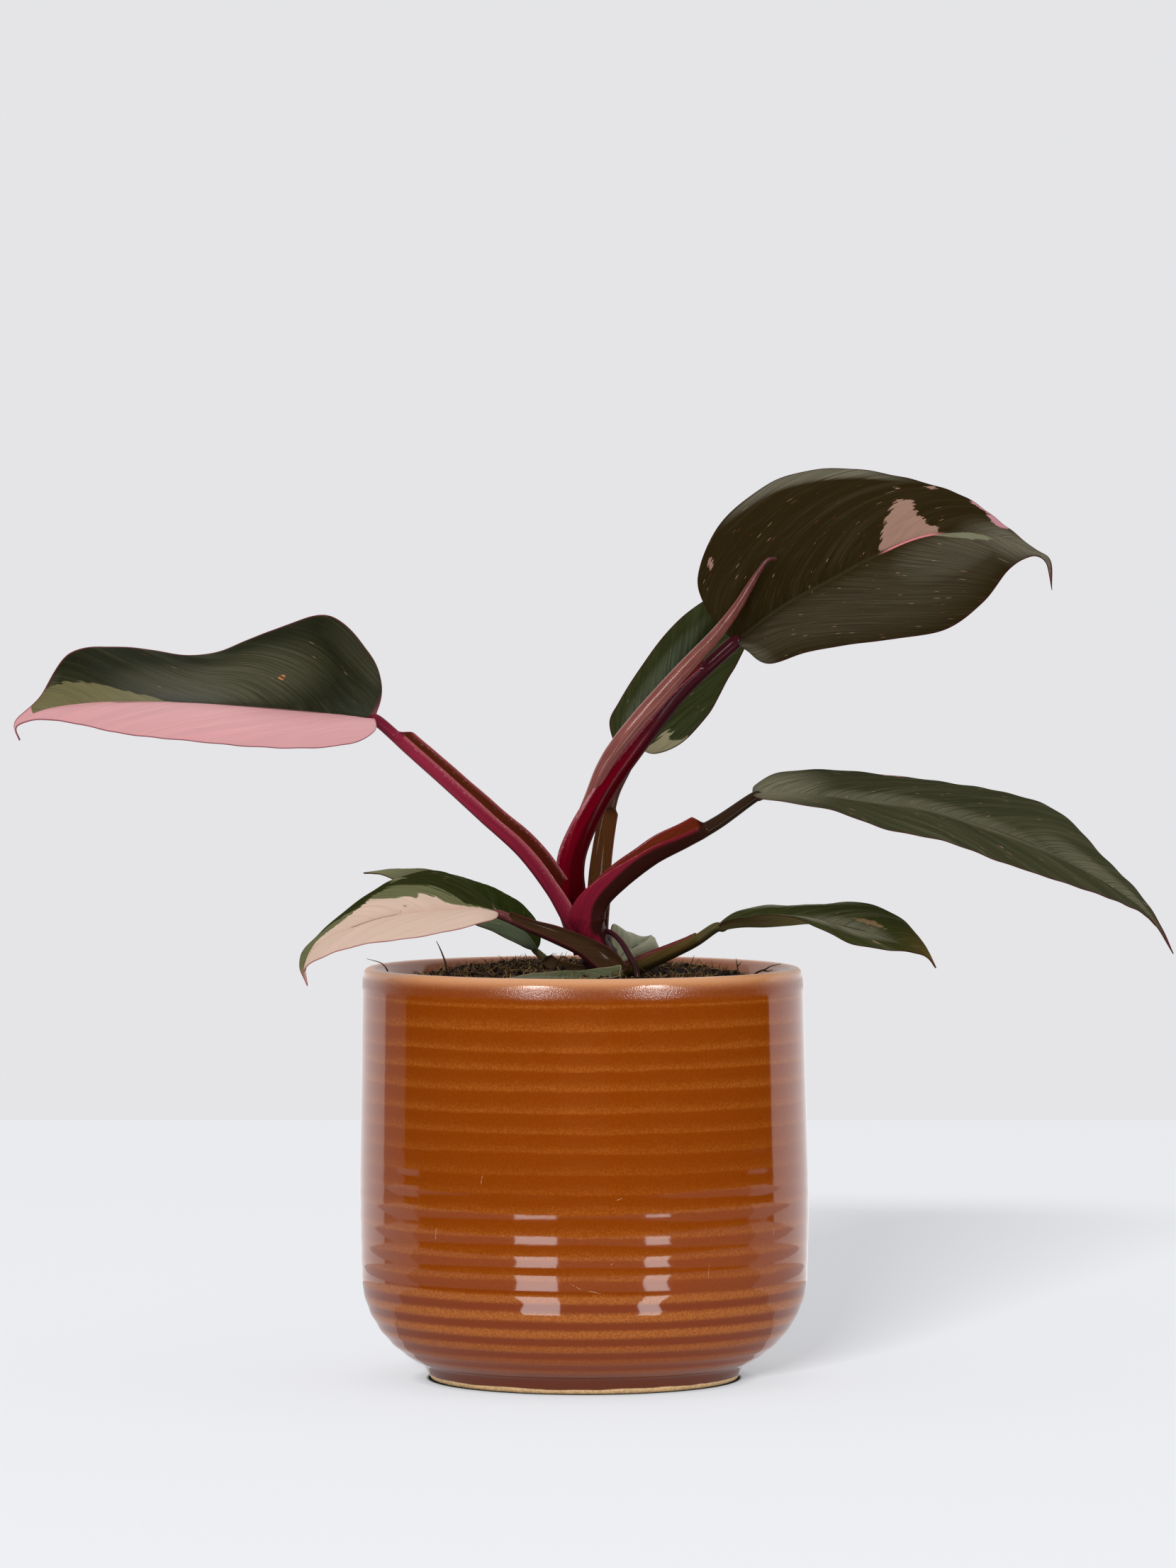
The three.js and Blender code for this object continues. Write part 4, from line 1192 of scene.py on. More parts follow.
@dataclass
class Soil:
    """The soil's mound with crumbs, moss and a few twigs.

    dip is where the mound sinks round the crown, how deep and how wide. skirt shuts the mound below, in
    shares of its radius and heights, and a twig is a radius, a chance that its colour reads and a path.
    """

    radius: float = 63.65
    edge: float = 122
    rise: float = 5.5
    back: float = 2.5
    relief: float = 0.7
    dip: tuple[float, ...] = (8, -6, 2.2, 15)
    skirt: Table = ((0.9, 98.0), (0.99, 99.0), (1.0, 112.0))
    crumbs: int = 3400
    tufts: int = 46
    strands: int = 6800
    twigs: tuple[tuple[float, float, tuple[Point, ...]], ...] = (
        (0.3, 0.3, ((-61.5, 1, 127), (-62.5, 1.5, 129.4), (-64, 2, 131), (-66.3, 4, 131.7),
                    (-68.8, 5, 132.3))),
        (0.42, 0.4, ((-43, -6, 126), (-43.6, -5, 131), (-44.6, -4, 134), (-45.6, -4, 136.4),
                     (-46.6, -3, 138.3))),
        (0.35, 0.45, ((49, 0, 125), (48.6, 0, 129), (48.2, 0.5, 131.4), (48, 1, 132.6))),
        (0.25, 0.45, ((48.3, 0, 130.2), (49.3, 0.5, 131), (49.8, 1, 131.6))),
        (0.4, 0.15, ((52, -8, 126.5), (54.5, -8, 128.7), (57, -7, 129.6), (59, -6, 130.6), (62, -5, 131.2))),
        (0.3, 0.15, ((56.5, -7, 129.3), (58, -8, 129.1), (59.5, -8.5, 129.6))),
        (0.3, 0.5, ((34, 12, 126), (33.6, 12, 129), (34.4, 12, 131.5), (35, 12, 133))),
        (0.4, 0.2, ((-10, 6, 127), (-8.5, 6, 131), (-6.5, 6, 133), (-4, 6, 131))),
        (0.5, 0.1, ((-30, 28, 126), (-26, 32, 128), (-22, 36, 126))),
        (0.5, 0.1, ((20, 34, 126), (27, 32, 128.5), (34, 30, 126))))
    seed: int = 7

    def height(self, x: Array, y: Array) -> Array:
        """The soil's height over the pot's underside."""
        share = np.minimum(1, np.hypot(x, y) / self.radius)
        mound = self.rise * (1 - share**4) + self.back * smooth(-10, 40, y) * (1 - share**6)
        lumps = np.sin(0.47 * x + 1.3) * np.cos(0.39 * y - 0.4) + np.sin(0.83 * x - 0.61 * y + 2)
        dip_x, dip_y, depth, reach = self.dip
        dip = depth * np.exp(-((np.hypot(x - dip_x, y - dip_y) / reach) ** 2))
        return self.edge + mound - dip + self.relief * lumps * (1 - share**8)

    def mound(self) -> Skin:
        """The bed of soil, shut below."""
        turn = np.linspace(0, TURN, 180, endpoint=False)
        shares, below = np.transpose(self.skirt)
        radii = self.radius * np.concatenate([shares, np.linspace(1, 0.012, 84)])
        x, y = radii[:, None] * np.cos(turn), radii[:, None] * np.sin(turn)
        z = self.height(x, y)
        place = stacked(x * 0.55, y * 0.55, 0.0)
        z = z + 0.5 * noise(place, 3) + 0.3 * noise(place * 2.6, 4)
        z[:len(below)] = below[:, None]
        marks = {"crumb": stacked(0.4 + 0 * x, 0 * x, 0 * x)}
        return Skin.around(stacked(x, y, z), marks, ((0, 0, below[0]), (0, 0, float(self.height(0.0, 0.0)))))

    def scatter(self, random: np.random.Generator, count: int) -> tuple[Array, Array, Array]:
        """Places spread evenly over the soil, with their heights."""
        reach = self.radius * 0.985 * np.sqrt(random.random(count))
        turn = random.random(count) * 2 * math.pi
        x, y = reach * np.cos(turn), reach * np.sin(turn)
        return x, y, self.height(x, y)

    def crumb_skin(self) -> Skin:
        """Crumbs and bits of bark lying on the soil."""
        random = np.random.default_rng(self.seed)
        corners, faces = icosahedron()
        made = []
        for x, y, z in zip(*self.scatter(random, self.crumbs)):
            size = 0.3 + 0.8 * random.random() ** 3
            shape = corners * (1 + 0.35 * (random.random((len(corners), 1)) - 0.5)) * (
                size * (0.7 + 0.9 * random.random(3)) * (1, 1, 0.75))
            turn = np.linalg.qr(random.normal(size=(3, 3)))[0]
            if np.linalg.det(turn) < 0:
                turn[:, 0] *= -1
            marks = {"crumb": np.tile([random.random(), 0.0, 0.0], (len(corners), 1))}
            made.append(Skin(shape @ turn.T + (x, y, z + 0.15 * size), faces, marks))
        return Skin.joined(made)

    def strand_skin(self) -> Skin:
        """Moss standing in tufts and dry fibres lying about."""
        random = np.random.default_rng(self.seed + 1)
        made = []
        tufts = self.scatter(random, self.tufts)
        for number in range(self.strands):
            tuft = int(random.integers(0, self.tufts))
            aside = random.normal(size=2) * (3.4 if number % 3 else 12.0)
            x, y = tufts[0][tuft] + aside[0], tufts[1][tuft] + aside[1]
            if math.hypot(x, y) > self.radius - 1.5:
                continue
            z = float(self.height(x, y))
            lying = random.random() < 0.6
            lean = random.normal(size=2) * (0.9 if lying else 0.45)
            tall = 0.7 + 2.4 * random.random() ** 2
            up = 0.25 * tall if lying else tall
            bend = random.normal(size=2) * 0.5
            steps = ((0, 0, -0.6), (0.5, 0, 0.45 * up), (1.2, 1, 0.8 * up),
                     (2, 2, (0.7 if lying else 1.0) * up))
            path = Curve(tuple((x + lean[0] * a + bend[0] * b, y + lean[1] * a + bend[1] * b, z + rise)
                               for a, b, rise in steps))
            made.append(thread(path, 0.1 + 0.14 * random.random(), 4, random.random()))
        return Skin.joined(made)

    def twig_skin(self) -> Skin:
        """A few dry twigs and straws on the soil."""
        return Skin.joined(thread(Curve(path), radius, 12, chance, sides=7)
                           for radius, chance, path in self.twigs)

    def build(self) -> None:
        """Makes the soil and what lies on it."""
        earth, moss = EarthFinish().material(), StrandFinish().material()
        piece("soil_bed", self.mound(), earth, ["soil"])
        piece("soil_crumbs", self.crumb_skin(), earth, soft=False)
        piece("moss_strands", self.strand_skin(), moss)
        piece("dry_twigs", self.twig_skin(), moss)


def icosahedron() -> tuple[Array, list[tuple[int, int, int]]]:
    """The corners, at a distance of 1, and the faces of a solid with twenty triangles."""
    gold = (1 + math.sqrt(5)) / 2
    corners = [(-1, gold, 0), (1, gold, 0), (-1, -gold, 0), (1, -gold, 0)]
    corners += [(z, x, y) for x, y, z in corners] + [(y, z, x) for x, y, z in corners]
    faces = [(0, 11, 5), (0, 5, 1), (0, 1, 7), (0, 7, 10), (0, 10, 11), (1, 5, 9), (5, 11, 4), (11, 10, 2),
             (10, 7, 6), (7, 1, 8), (3, 9, 4), (3, 4, 2), (3, 2, 6), (3, 6, 8), (3, 8, 9), (4, 9, 5),
             (2, 4, 11), (6, 2, 10), (8, 6, 7), (9, 8, 1)]
    return unit(np.array(corners, float)), faces


def thread(curve: Curve, radius: float, steps: int, chance: float, sides: int = 3) -> Skin:
    """A thin tapering strand.

    Args:
        curve: its line.
        radius: its radius at the base.
        steps: rings along it.
        chance: a value from 0 to 1 that its finish reads.
        sides: points in a ring.

    Returns:
        The strand's closed skin.
    """
    share = np.linspace(0, 1, steps)[:, None]
    angle = np.arange(sides) * 2 * math.pi / sides
    flat = radius * (1 - 0.75 * share[..., None]) * stacked(np.sin(angle), np.cos(angle))
    rings = rings_on(curve, share[:, 0], np.tile([0.31, -0.9, 0.17], (steps, 1)), flat)
    return Skin.around(rings, {"crumb": stacked(chance, share + 0 * angle, 0.0)})


# The plant's own leaves

GREEN = tone(38, 40, 20)
PINK = tone(216, 158, 160)
PEACH = tone(216, 188, 170)

CRIMSON = StalkFinish("stalk_crimson_near", outer=tone(150, 40, 64), dark=tone(104, 24, 40),
                      inner=tone(112, 50, 28), inner_low=tone(88, 16, 18), rim=tone(176, 92, 98),
                      far=tone(104, 30, 46), far_from=0.9, painted_sparkle=0.35, gloss=0.2)
CRIMSON_DARK = StalkFinish("stalk_crimson_deep", outer=tone(114, 2, 24), dark=tone(68, 2, 8),
                           inner=tone(120, 46, 46), rim=tone(170, 90, 100), far=tone(72, 26, 34),
                           far_from=0.62,
                           painted_sparkle=0.3, gloss=0.14)
CRIMSON_BROWN = StalkFinish("stalk_crimson_brown", outer=tone(136, 30, 52), dark=tone(44, 26, 18),
                            inner=tone(136, 56, 32), inner_low=tone(110, 30, 34), rim=tone(140, 34, 48),
                            far=tone(74, 54, 38), far_from=0.8, shade=(-0.58, -0.32), shade_grows=4,
                            shade_side=1.5,
                            gloss=0.16)
BROWN = StalkFinish("stalk_brown_long", outer=tone(88, 56, 44), dark=tone(52, 34, 26),
                    inner=tone(124, 78, 42), rim=tone(128, 54, 60), far=tone(60, 56, 38), far_from=0.8,
                    gloss=0.12)
BROWN_LOW = StalkFinish("stalk_brown_low", outer=tone(88, 44, 44), dark=tone(60, 42, 32),
                        inner=tone(76, 52, 34), rim=tone(112, 44, 52), far=tone(112, 62, 62), far_from=0.82,
                        gloss=0.08)
OLIVE = StalkFinish("stalk_olive", outer=tone(104, 84, 46), dark=tone(60, 50, 28), inner=tone(84, 66, 42),
                    rim=tone(132, 44, 58), far=tone(88, 80, 50), far_from=0.8, gloss=0.05)


@dataclass
class Leaf:
    """One leaf: its stalk and its blade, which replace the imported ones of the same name."""

    name: str
    blade: Blade
    stalk: Stalk
    blade_slot: str
    stalk_slot: str
    runout: Table = ((0.05, 1.1), (0.12, 0.7))

    def build(self) -> None:
        """Makes the leaf's two pieces."""
        piece(f"{self.name}_fine_blade", self.blade.skin(), self.blade.finish.material(),
              [f"{self.name}_blade"])
        runout = tuple(self.blade.below(share, drop) for share, drop in self.runout)
        piece(f"{self.name}_fine_stalk", self.stalk.skin(runout), self.stalk.finish.material(),
              [f"{self.name}_stalk"])


LEAF_1 = Leaf(
    "leaf_1",
    Blade(
        stations=(
            ((-66, -2, 208.5),), ((-69, -3, 208.5), (-65.5, -13, 205), (-64, 9, 218.5)),
            ((-77, -4, 209.5), (-71.5, -26, 201.5), (-68.5, 15, 229.5)),
            ((-88, -7, 210.5), (-84.5, -34, 200), (-81, 8, 241)),
            ((-103.5, -11, 212), (-103, -39, 200.5), (-99.5, 7, 236)),
            ((-121, -15, 213.5), (-124, -41, 202.5), (-121, 10, 228.5)),
            ((-138.5, -19, 214), (-143.5, -38, 204.5), (-144, 1, 231)),
            ((-155, -21, 213.5), (-158.5, -31, 207.5), (-161, -14, 229.5)),
            ((-169, -22, 211.5), (-170, -25, 208.5), (-170.5, -20, 215.5)),
            ((-177.5, -22, 207), (-177, -23, 206.5), (-178, -21.5, 208)), ((-176.5, -21, 202),)),
        swell=(0.1, -0.08),
        finish=LeafFinish(
            "leaf_one", specular=0.13, ground=PINK, green=GREEN, olive=tone(116, 110, 74),
            tip=tone(214, 150, 156), tip_from=0.93, base=tone(196, 104, 118), midrib=tone(206, 140, 148),
            under=tone(150, 96, 96), margin=tone(120, 44, 58), accent=tone(190, 120, 70),
            blush=tone(208, 122, 138), glows=((0.45, 0.45, 0.22, 0.5, 0.3), (0.8, 0.8, 0.08, 0.3, 0.3),
            (0.2, 0.9, 0.12, 0.3, 0.15))),
        olive=Areas((((-0.1, 0.02), (0.83, 0.02), (0.83, 1.4), (-0.1, 1.4)),)),
        main=Areas(
            (((-0.1, 0), (0.15, 0), (0.5, 0), (0.56, 0.04), (0.6, 0.2), (0.66, 0.37), (0.72, 0.52),
            (0.76, 0.75), (0.79, 1.05), (0.8, 1.4), (-0.1, 1.4)),)),
        accent=Areas((fleck(0.36, 0.4, 0.004, 0.02),)),
        seed=1),
    Stalk(
        path=((3.5, 0.5, 136), (-3, -1.5, 143.5), (-9.5, -3, 154.5), (-19, -4, 166.8), (-31, -4, 177.7),
              (-43, -4, 188.5), (-54, -3.5, 198), (-65, -2, 207.7)),
        radius=(3.2, 3, 2.7, 2.5, 2.4, 2.2, 1.9, 1.8), half=4.2, rise=5, end=0.91,
        faces=((0.7, -0.5, 0.5), (0.6, -0.35, 0.7)), finish=CRIMSON, seed=1),
    "leaf_pink", "stalk_crimson")

LEAF_2 = Leaf(
    "leaf_2",
    Blade(
        stations=(
            ((47.5, -4, 233),), ((49, -5, 234), (39.5, 0, 241.5), (51, -9, 230)),
            ((52, -6, 236), (36, 4, 253.5), (58, -17, 226)),
            ((57, -8, 240), (43, 5, 270), (69, -25, 229.5)),
            ((66, -11, 246), (60, 5, 283.5), (82, -30, 232)),
            ((77, -15, 252), (79.5, 2, 287.5), (97, -34, 234)),
            ((90.5, -20, 259.5), (100.5, -3, 284.5), (112.5, -37, 237)),
            ((106.5, -25, 266), (119, -15, 278.5), (124, -38, 245.5)),
            ((125, -29, 267), (131, -26, 269.5), (132, -36, 255.5)),
            ((138, -32, 262), (140, -32, 262), (139, -34, 259.5)),
            ((144, -33, 258.5), (145, -33, 258.5), (143.5, -33, 257.5)), ((145.5, -33, 249),)),
        swell=(0.12, 0.1),
        finish=LeafFinish(
            "leaf_two", green=tone(45, 35, 16), olive=tone(124, 122, 98), accent=tone(160, 126, 110),
            tip=tone(156, 78, 84), tip_from=0.91, midrib=tone(70, 64, 46), under=tone(92, 58, 52),
            speckle=0.35, sheen=0.2, jag=0.9, veining=(0.75, 1.2), main=tone(186, 132, 140),
            line=(0.55, 0.58, 0.64, 0.67), line_colour=tone(208, 126, 128), pale=tone(128, 124, 106),
            glows=((0.4, 0.5, 0.6, 0.55, 0.14), (0.86, 0, 0.2, 1.4, 0.8), (0.12, 0.75, 0.12, 0.5, 0.4),
            (0.42, -0.95, 0.16, 0.1, 0.7), (0.66, 0.35, 0.16, 0.4, 0.3))),
        olive=Areas((((0.645, 0), (0.7, 0.02), (0.735, 0.2), (0.72, 0.28), (0.685, 0.17), (0.655, 0.06)),)),
        main=Areas(
            (((0.69, -1.2), (0.745, -1.2), (0.745, -0.75), (0.735, -0.55), (0.72, -0.6), (0.712, -0.72),
            (0.695, -0.82)), ((0.64, -1.2), (0.69, -1.2), (0.685, -0.93), (0.655, -0.9)), ((0.74, -1.2),
            (0.93, -1.2), (0.9, -0.94), (0.76, -0.9)))),
        accent=Areas(
            (((0.562, -0.63), (0.585, -0.62), (0.592, -0.5), (0.605, -0.42), (0.608, -0.34), (0.625, -0.3),
            (0.628, -0.2), (0.648, -0.16), (0.655, -0.02), (0.555, -0.02), (0.558, -0.3)),
            fleck(0.59, -0.93, 0.008, 0.04), fleck(0.55, -0.8, 0.005, 0.03),
            fleck(0.225, -0.82, 0.008, 0.05))),
        seed=2),
    Stalk(
        path=((2, 2, 135), (-2, 2, 148), (-3.5, 1.5, 161), (-0.5, 1, 172), (7, 0, 186), (16.5, -1, 199),
              (29, -2, 215), (39.5, -3, 225.5), (47.2, -4, 232.4)),
        radius=(4, 3.9, 3.8, 3.5, 3.1, 2.7, 2.5, 2.4, 2.3), half=5.4, rise=4.2, end=0.86,
        faces=((-0.7, 0.75, 0.2), (-0.8, -0.4, 0.45)), finish=CRIMSON_DARK, taper=0.45, seed=2),
    "leaf_green", "stalk_crimson")

LEAF_3 = Leaf(
    "leaf_3",
    Blade(
        stations=(
            ((17, 14, 199),), ((18, 15, 200.5), (10.5, 9, 199.5), (22.5, 11, 197)),
            ((20.5, 18, 204.5), (8, 10, 207), (31, 11, 200.5)),
            ((25, 24, 211), (11, 13, 213.5), (39.5, 14, 209.5)),
            ((31, 31, 219.5), (17, 19, 223), (45, 20, 219)),
            ((37.5, 39, 228.5), (26, 28, 235), (50, 28, 227.5)),
            ((45, 48, 238), (35.5, 39, 243.5), (54.5, 39, 237.5)),
            ((53, 59, 246.5), (48.5, 54, 250.5), (58.5, 54, 246.5)), ((60, 70, 255),)),
        swell=(0.12, 0.12),
        finish=LeafFinish(
            "leaf_three", green=tone(54, 58, 30), veining=(0.6, 1.4), olive=tone(158, 150, 118),
            glows=((0.4, -0.55, 0.4, 0.3, 0.4),), speckle=0.2, pale=tone(120, 128, 108)),
        olive=Areas(
            (((-0.1, 0.5), (0.25, 0.5), (0.27, 0.55), (0.25, 0.65), (0.285, 0.7), (0.215, 0.75),
            (0.28, 0.95), (0.28, 1.4), (-0.1, 1.4)),)),
        seed=3),
    Stalk(
        path=((4.5, 3, 135), (5, 7, 150), (5.5, 9, 160.5), (7, 10.5, 172), (9.5, 12, 183.5), (13.5, 13, 192),
              (16.8, 14, 198.3)),
        radius=(2.6, 2.3, 2, 1.8, 1.5, 1.4, 1.4), half=4, rise=2.2, end=0.6,
        faces=((-0.3, -1, 0.1), (-0.1, -1, 0.3)), finish=BROWN, seed=3),
    "leaf_green", "stalk_brown")

LEAF_4 = Leaf(
    "leaf_4",
    Blade(
        stations=(
            ((53, -10, 184.5),), ((57, -11, 185), (54, 1, 187.5), (54.5, -20, 184)),
            ((64, -12, 185), (61.5, 10, 191), (62, -30, 183)),
            ((75, -13, 184), (75.5, 14, 192), (77.5, -37, 180.5)),
            ((89, -15, 183), (94.5, 13, 190.5), (93.5, -41, 175)),
            ((105.5, -17, 181), (115, 9, 188), (112.5, -42, 171)),
            ((122.5, -19, 176), (133.5, 4, 185), (130, -40, 164.5)),
            ((139, -22, 170), (150, -4, 179), (146.5, -37, 159)),
            ((155, -25, 162), (162, -14, 166.5), (162.5, -33, 153.5)),
            ((169.5, -27, 153), (173, -23, 155), (173.5, -30, 148.5)),
            ((178.5, -28, 144.5), (179.5, -27, 145.5), (179, -28, 143.5)), ((184, -28, 135.5),)),
        swell=(0.06, 0.07),
        finish=LeafFinish(
            "leaf_four", green=tone(62, 62, 43), pale=tone(138, 134, 112), accent=tone(196, 140, 150),
            glows=((0.12, 0, 0.2, 1.4, 0.7), (0.4, 0.05, 0.45, 0.3, 0.4), (0.8, -0.2, 0.2, 0.4, 0.4)),
            veining=(0.6, 1.45), speckle=0.4, tip=tone(84, 50, 50), tip_from=0.84, base=tone(92, 82, 76),
            midrib=tone(96, 96, 76), margin=tone(84, 26, 38), sheen=0.3),
        accent=Areas(
            (((0.36, -1.2), (0.4, -1.2), (0.395, -0.86), (0.37, -0.86)), fleck(0.15, -0.65, 0.012, 0.012),
            fleck(0.17, -0.8, 0.01, 0.012), fleck(0.55, 0.65, 0.012, 0.01))),
        seed=4),
    Stalk(
        path=((7.5, -2, 131), (4.2, -4, 138), (2, -5.5, 146), (4.5, -7, 152.5), (12.5, -8, 159),
              (22, -9, 165.5),
              (32, -9.5, 170.5), (42, -10, 176), (53.4, -10.3, 183.9)),
        radius=(2.6, 3.6, 5.3, 4.3, 3.2, 2.7, 2.4, 2.1, 1.7), half=4, rise=4.7, end=0.82,
        faces=((-0.4, 0.5, 0.75), (-0.4, -0.72, 0.75)), finish=CRIMSON_BROWN, taper=0.08, seed=4),
    "leaf_green", "stalk_crimson")

LEAF_5 = Leaf(
    "leaf_5",
    Blade(
        stations=(
            ((-27, -18, 148),), ((-29.5, -19, 148.5), (-27.5, -26, 146.5), (-30.5, -10, 151.5)),
            ((-34.5, -21, 149), (-31.5, -34, 145.5), (-36, -4, 155.5)),
            ((-42, -24, 149), (-40.5, -42, 143.5), (-45, -5, 160.5)),
            ((-51.5, -28, 148.5), (-52.5, -47, 141.5), (-57.5, -11, 159)),
            ((-62.5, -32, 147), (-65.5, -49, 140), (-69, -20, 153)),
            ((-73.5, -35, 143.5), (-77, -46, 137), (-80, -29, 144.5)),
            ((-82, -37, 139.5), (-84.5, -42, 133.5), (-87, -35, 137.5)),
            ((-86.5, -38, 133), (-87, -38, 130.5), (-88.5, -37, 132.5)), ((-86, -37, 126),)),
        swell=(0.1, 0.12),
        finish=LeafFinish(
            "leaf_five", ground=PEACH, green=tone(46, 50, 22), olive=tone(110, 112, 78),
            accent=tone(120, 120, 90), tip=tone(190, 130, 130), tip_from=0.88, blush=tone(216, 172, 172),
            base=tone(200, 156, 146), midrib=tone(214, 170, 160), under=tone(150, 120, 104),
            margin=tone(150, 70, 76), speckle=0.25),
        olive=Areas(
            (((-0.1, 0.06), (0.1, 0.06), (0.27, 0.06), (0.35, 0.12), (0.38, 0.2), (0.43, 0.33),
            (0.44, 0.25), (0.5, 0.35), (0.53, 0.45), (0.55, 0.6), (0.56, 0.7), (0.72, 1.05), (0.72, 1.4),
            (-0.1, 1.4)), fleck(0.5, 0.06, 0.01, 0.02), fleck(0.54, 0.12, 0.012, 0.02),
            fleck(0.48, 0.13, 0.01, 0.02), ((0.56, 0.62), (0.64, 0.5), (0.72, 0.35), (0.8, 0.2),
            (0.88, 0.1), (0.97, 0.2), (0.97, 1.4), (0.56, 1.4)))),
        main=Areas(
            (((-0.1, 0.1), (0.1, 0.1), (0.2, 0.08), (0.27, 0.12), (0.35, 0.3), (0.4, 0.45), (0.45, 0.55),
            (0.5, 0.72), (0.53, 0.76), (0.565, 0.7), (0.575, 0.57), (0.6, 0.62), (0.64, 0.72), (0.7, 0.8),
            (0.78, 0.84), (0.84, 0.9), (0.88, 1.4), (-0.1, 1.4)),)),
        accent=Areas((((0.44, 0.82), (0.48, 0.82), (0.485, 1), (0.445, 1)),)),
        seed=5),
    Stalk(
        path=((11, -8.5, 127), (6, -10, 131.8), (-0.5, -10.8, 136.4), (-9, -12, 140.1), (-17.5, -14.5, 143.4),
              (-26.3, -18, 147.4)),
        radius=(3.4, 3.2, 2.7, 1.9, 1.5, 1.4), half=5, rise=2.6, end=0.93,
        faces=((0.1, -0.8, 0.6), (0.1, -0.6, 0.9)), finish=BROWN_LOW, taper=0.55, seed=5),
    "leaf_pale", "stalk_brown")

LEAF_6 = Leaf(
    "leaf_6",
    Blade(
        stations=(
            ((-15, 14, 134.5),), ((-16, 15, 136.5), (-17, 7, 135), (-14, 21, 137.5)),
            ((-18.5, 18, 139.5), (-21, 2, 137), (-15, 30, 142)),
            ((-24, 22, 144.5), (-28, 3, 140.5), (-19.5, 37, 147.5)),
            ((-31.5, 27, 150), (-38, 10, 144.5), (-27.5, 41, 152)),
            ((-40.5, 31, 154), (-48.5, 16, 151), (-38.5, 42, 156)),
            ((-51, 35, 156.5), (-57.5, 26, 155), (-51.5, 42, 159)),
            ((-61, 38, 158), (-65, 34, 157.5), (-62.5, 41, 159)), ((-71, 39, 158),)),
        swell=(0.12, 0.12),
        finish=LeafFinish(
            "leaf_six", green=tone(42, 50, 18), base=tone(92, 108, 74), tip=tone(150, 150, 116),
            tip_from=0.55, speckle=0.5, pale=tone(104, 114, 92), glows=((0.3, -0.75, 0.5, 0.5, 0.8),)),
        vein_pitch=3.4, seed=6),
    Stalk(
        path=((5.5, 2.5, 126.5), (0.5, 5.5, 127), (-5, 9, 128), (-10, 11.5, 129.8), (-14.8, 14, 133.8)),
        radius=(2, 1.9, 1.7, 1.4, 1.1), half=3.2, rise=1.4, end=0.86,
        faces=((0.1, -0.7, 0.7), (0, -0.6, 0.8)), finish=OLIVE, seed=6),
    "leaf_green", "stalk_brown")

LEAF_7 = Leaf(
    "leaf_7",
    Blade(
        stations=(
            ((42, -8, 143),), ((45.5, -9, 144), (43.5, -1, 144.5), (44, -15, 145)),
            ((50.5, -10, 144.5), (49, 4, 147.5), (49.5, -21, 146.5)),
            ((57, -12, 144.5), (57.5, 7, 149), (55.5, -27, 147.5)),
            ((64, -14, 145), (66.5, 7, 149), (63.5, -31, 147.5)),
            ((72.5, -16, 145.5), (76.5, 5, 149.5), (72, -34, 144.5)),
            ((82.5, -19, 143.5), (87, 1, 150.5), (83, -35, 139)),
            ((92.5, -22, 141), (98, -7, 147), (94.5, -33, 137)),
            ((101, -24, 138), (104.5, -16, 141), (103, -29, 136)),
            ((107, -25, 135), (108, -23, 135.5), (107.5, -26, 134)), ((110, -25, 131),)),
        swell=(0.08, 0.05),
        finish=LeafFinish(
            "leaf_seven", green=tone(62, 66, 34), accent=tone(150, 124, 90), tip=tone(112, 88, 44),
            tip_from=0.7, base=tone(84, 88, 62), under=tone(104, 92, 58), speckle=0.25,
            pale=tone(158, 154, 132), sheen=0.6, veining=(0.65, 1.35), glows=((0.42, 0.35, 0.2, 0.55, 1),
            (0.6, 0.2, 0.2, 0.5, 0.6), (0.4, -0.8, 0.25, 0.3, 0.7))),
        accent=Areas(
            (((0.6, -0.2), (0.64, -0.3), (0.7, -0.26), (0.72, -0.18), (0.66, -0.16)),
            fleck(0.67, 0.7, 0.012, 0.06))),
        vein_pitch=3.4, seed=7),
    Stalk(
        path=((9, -1.5, 127), (13.5, -2.5, 129), (20, -3.7, 131.8), (27.5, -5.3, 135), (35, -6.6, 138.5),
              (41.4, -8, 142.8)),
        radius=(3, 2.9, 2.6, 2.2, 1.8, 1.6), half=3.4, rise=2.6, end=0.83,
        faces=((-0.3, -0.15, 1), (-0.4, 0.1, 1)), finish=OLIVE, taper=0.05, seed=7),
    "leaf_green", "stalk_brown")

LEAF_8 = Leaf(
    "leaf_8",
    Blade(
        stations=(
            ((10.5, 10.5, 130.5),), ((11, 12, 131), (9, 9, 132.5), (12.5, 17, 130.5)),
            ((12.5, 16, 132.5), (8.5, 12, 136.5), (15.5, 25, 131)),
            ((15, 23, 134.5), (9, 19, 142.5), (20, 34, 132)),
            ((17.5, 32, 135.5), (14, 30, 139.5), (24, 42, 133)),
            ((20, 41, 136.5), (19, 40, 137.5), (23, 46, 136)), ((21.5, 48, 137.5),)),
        swell=(0.1, 0.1),
        # leaf_8's green is its own grey-green lightened by a painted sheen of its face turned up to the light
        finish=LeafFinish(
            "leaf_eight", green=tone(142, 142, 112), specular=0.05, tip=tone(120, 120, 96),
            base=tone(120, 116, 90), midrib=tone(140, 146, 122), sheen=0.4),
        vein_pitch=2.6, ripple=0.06, seed=8),
    Stalk(
        path=((7, 2, 126.5), (8.6, 6.5, 128.3), (10.3, 10.2, 130.4)), radius=(2, 1.2),
        half=2.4, rise=1, end=0.7, faces=((0, -0.3, 1), (0, -0.3, 1)), finish=OLIVE, seed=8),
    "leaf_pale", "stalk_brown")

